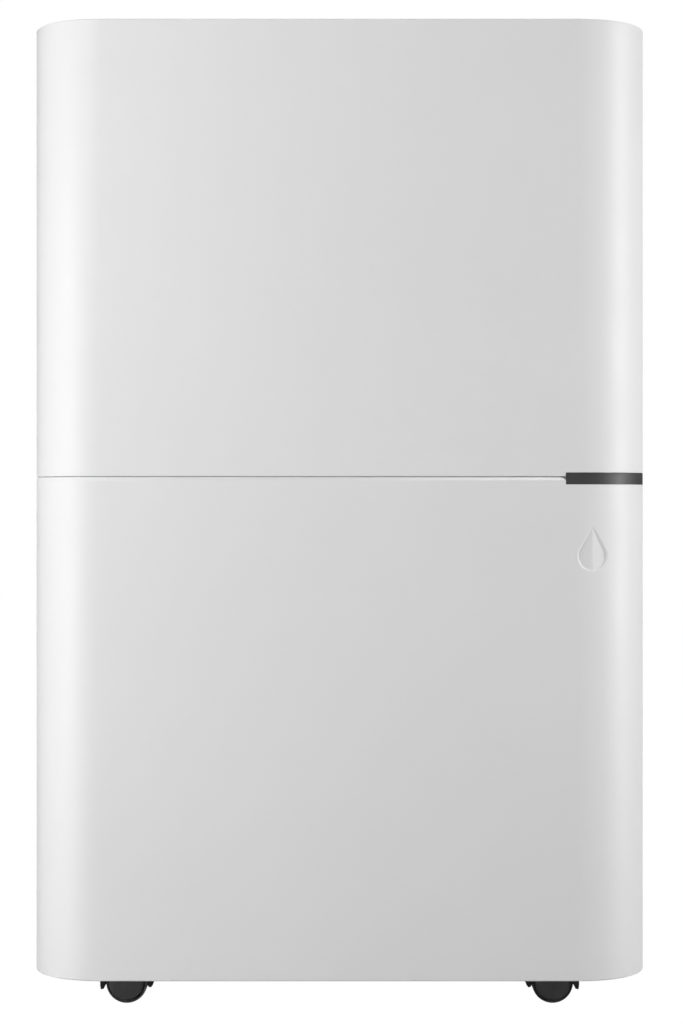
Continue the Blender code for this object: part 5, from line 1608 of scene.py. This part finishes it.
def finned_coil(name, front, rear, node):
    """Plate fins between end plates, with hairpin tubes that join row to row at both ends."""
    work = bmesh.new()
    middle, depth, height = (front + rear) / 2, rear - front, COIL_TOP - COIL_BOTTOM
    width = 2 * COIL_HALF - 0.004
    count = int(width / FIN_PITCH)
    size = Matrix.Diagonal((FIN_THICK, depth - 0.0012, height - 0.0008, 1))
    for i in range(count + 1):
        place = Matrix.Translation((-width / 2 + width * i / count, middle, (COIL_TOP + COIL_BOTTOM) / 2))
        bmesh.ops.create_cube(work, size=1, matrix=place @ size)
    parts = [mesh_piece(name + "_fins", work)]
    for side in (-1, 1):
        x0, x1 = sorted((side * (COIL_HALF - PLATE_THICK), side * COIL_HALF))
        low, high = (x0, front + PLATE_INSET, COIL_BOTTOM), (x1, rear - PLATE_INSET, COIL_TOP)
        parts.append(eased(crate("end_plate", low, high), 0.0003))
    finished(joined(name, parts), bright_fins, "cabinet", "coil_fins", node)
    lines = []
    y = front + TUBE_INSET
    for row in range(TUBE_ROWS):
        z = COIL_TOP - 0.016 - TUBE_PITCH * row
        lines.append([(-COIL_HALF, y, z), (COIL_HALF, y, z)])
        if row < TUBE_ROWS - 1:
            side = 1 if row % 2 == 0 else -1
            start = side * (COIL_HALF - 0.002)
            bend = []
            for k in range(13):
                a = math.radians(90 - 180 * k / 12)
                x = side * (COIL_HALF + PLATE_THICK + TUBE_TURN * math.cos(a))
                bend.append((x, y, z - TUBE_PITCH / 2 + TUBE_TURN * math.sin(a)))
            lines.append([(start, y, z - 0.0001), *bend, (start, y, z - TUBE_PITCH + 0.0001)])
    finished(line_piece(name + "_tubes", lines, TUBE_RADIUS, 3), copper, "cabinet", "copper")


finned_coil("condenser_coil", 0.052, 0.076, "condenser")
finned_coil("evaporator_coil", 0.084, 0.108, "evaporator")


# ---- Fan ----------------------------------------------------------------------------
# A forward-curved blower wheel with thin cupped blades between a disc and a rim, on the
# shaft of a pressed-steel motor in front of it.

FAN_Z, FAN_RADIUS, BLADES = 0.468, 0.083, 43
BLADE_CENTRE, BLADE_SHIFT, BLADE_TILT = 0.0760, 0.001, 0.004
fan_centre = (0, 0, FAN_Z)
disc_profile = [
    (0.0033, -0.036), (0.0112, -0.036), (0.012, -0.0352), (0.012, -0.0305), (0.0130, -0.030),
    (FAN_RADIUS, -0.030), (FAN_RADIUS, -0.0285), (0.013, -0.028), (0.0118, -0.0265),
    (0.010, -0.018), (0.0033, -0.018),
]
rim_profile = [
    (0.0705, 0.0335), (FAN_RADIUS - 0.0004, 0.033), (FAN_RADIUS, 0.0334),
    (FAN_RADIUS, 0.0346), (FAN_RADIUS - 0.0004, 0.035), (0.0705, 0.0345),
]
blade_angles = [math.radians(-62 + 74 * i / 8) for i in range(9)]


def blade_face(angles, across, along):
    """One curved face of a blade, in the wheel's side view."""
    return [
        (BLADE_CENTRE + across * math.sin(a) - BLADE_SHIFT, along * math.cos(a) - BLADE_TILT)
        for a in angles
    ]


blade_edge = blade_face(blade_angles, 0.0075, 0.0078) + blade_face(blade_angles[::-1], 0.0068, 0.0071)
blades = []
for i in range(BLADES):
    a = 2 * math.pi * i / BLADES
    cos_a, sin_a = math.cos(a), math.sin(a)
    turn = [(x * cos_a - z * sin_a, FAN_Z + x * sin_a + z * cos_a) for x, z in blade_edge]
    blades.append(sheet_piece("blade", [turn], -0.0290, 0.0338, "Y"))
wheel_disc = turned("wheel_disc", disc_profile, fan_centre, "Y", ring=True, steps=96)
wheel_rim = turned("wheel_rim", rim_profile, fan_centre, "Y", ring=True, steps=96)
blower = joined("blower_wheel", [wheel_disc, wheel_rim, *blades])
finished(blower, soft_black, "fan", "dark_plastic", "fan_wheel")

motor_profile = [
    (0, -0.090), (0.012, -0.090), (0.013, -0.0888), (0.034, -0.0885), (0.0395, -0.0872),
    (0.0415, -0.083), (0.0415, -0.0690), (0.0420, -0.0686), (0.0420, -0.0662), (0.0415, -0.0658),
    (0.0415, -0.050), (0.0395, -0.0455), (0.034, -0.0425), (0.012, -0.0418), (0.0100, -0.0413),
    (0.0100, -0.0398), (0.0032, -0.0395), (0.0030, -0.0225), (0.0026, -0.0220), (0, -0.0220),
]
pressed_steel = metal("pressed_steel", (0.52, 0.53, 0.54), 0.28, 0.45, 0.3, 200.0, 0.25)
motor = turned("motor_can", motor_profile, fan_centre, "Y", steps=96)
finished(motor, pressed_steel, "cabinet", "steel", "fan_motor")


# ---- Pieces kept from the model ------------------------------------------------------
# Hidden mouldings and boards whose plain shapes are right as they are, in the finishes of
# the pieces beside them, with copper tracks and solder on the two circuit boards.


def circuit_board(name):
    """Green solder mask over straight copper tracks, with bright dots of solder."""
    material = bpy.data.materials.new(name)
    tree, shader, _ = shader_nodes(material)
    place = tree.nodes.new("ShaderNodeTexCoord").outputs["Object"]
    tracks = tree.nodes.new("ShaderNodeTexBrick")
    tracks.inputs["Scale"].default_value = 240.0
    tracks.inputs["Mortar Size"].default_value = 0.035
    tracks.inputs["Color1"].default_value = (0.008, 0.075, 0.03, 1)
    tracks.inputs["Color2"].default_value = (0.010, 0.085, 0.036, 1)
    tracks.inputs["Mortar"].default_value = (0.03, 0.16, 0.06, 1)
    tree.links.new(place, tracks.inputs["Vector"])
    dots = tree.nodes.new("ShaderNodeTexVoronoi")
    dots.inputs["Scale"].default_value = 260.0
    dots.inputs["Randomness"].default_value = 0.6
    tree.links.new(place, dots.inputs["Vector"])
    solder = rescaled(tree, dots.outputs["Distance"], 1.0, 0.0, 0.12, 0.18)
    soldered = blended(tree, solder, tracks.outputs["Color"], (0.6, 0.6, 0.6))
    tree.links.new(soldered, shader.inputs["Base Color"])
    tree.links.new(solder, shader.inputs["Metallic"])
    tree.links.new(rescaled(tree, noise(tree, 90.0), 0.3, 0.5), shader.inputs["Roughness"])
    bumped(tree, shader, tracks.outputs["Fac"], 4e-5)
    return material


board_green = circuit_board("board_green")
kept_finishes = {
    "bucket_bay": soft_black, "base_pan": soft_black, "fan_housing": soft_black, "drip_tray": mid_grey,
    "bucket_switch": mid_grey, "board_box": pressed_steel, "run_capacitor": bright_fins,
    "control_board": board_green, "display_board": board_green,
    "grommet_1": moulded_rubber, "grommet_2": moulded_rubber, "grommet_3": moulded_rubber,
}
for node, material in kept_finishes.items():
    kept_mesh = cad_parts[node].data
    kept_mesh.materials.clear()
    kept_mesh.materials.append(material)
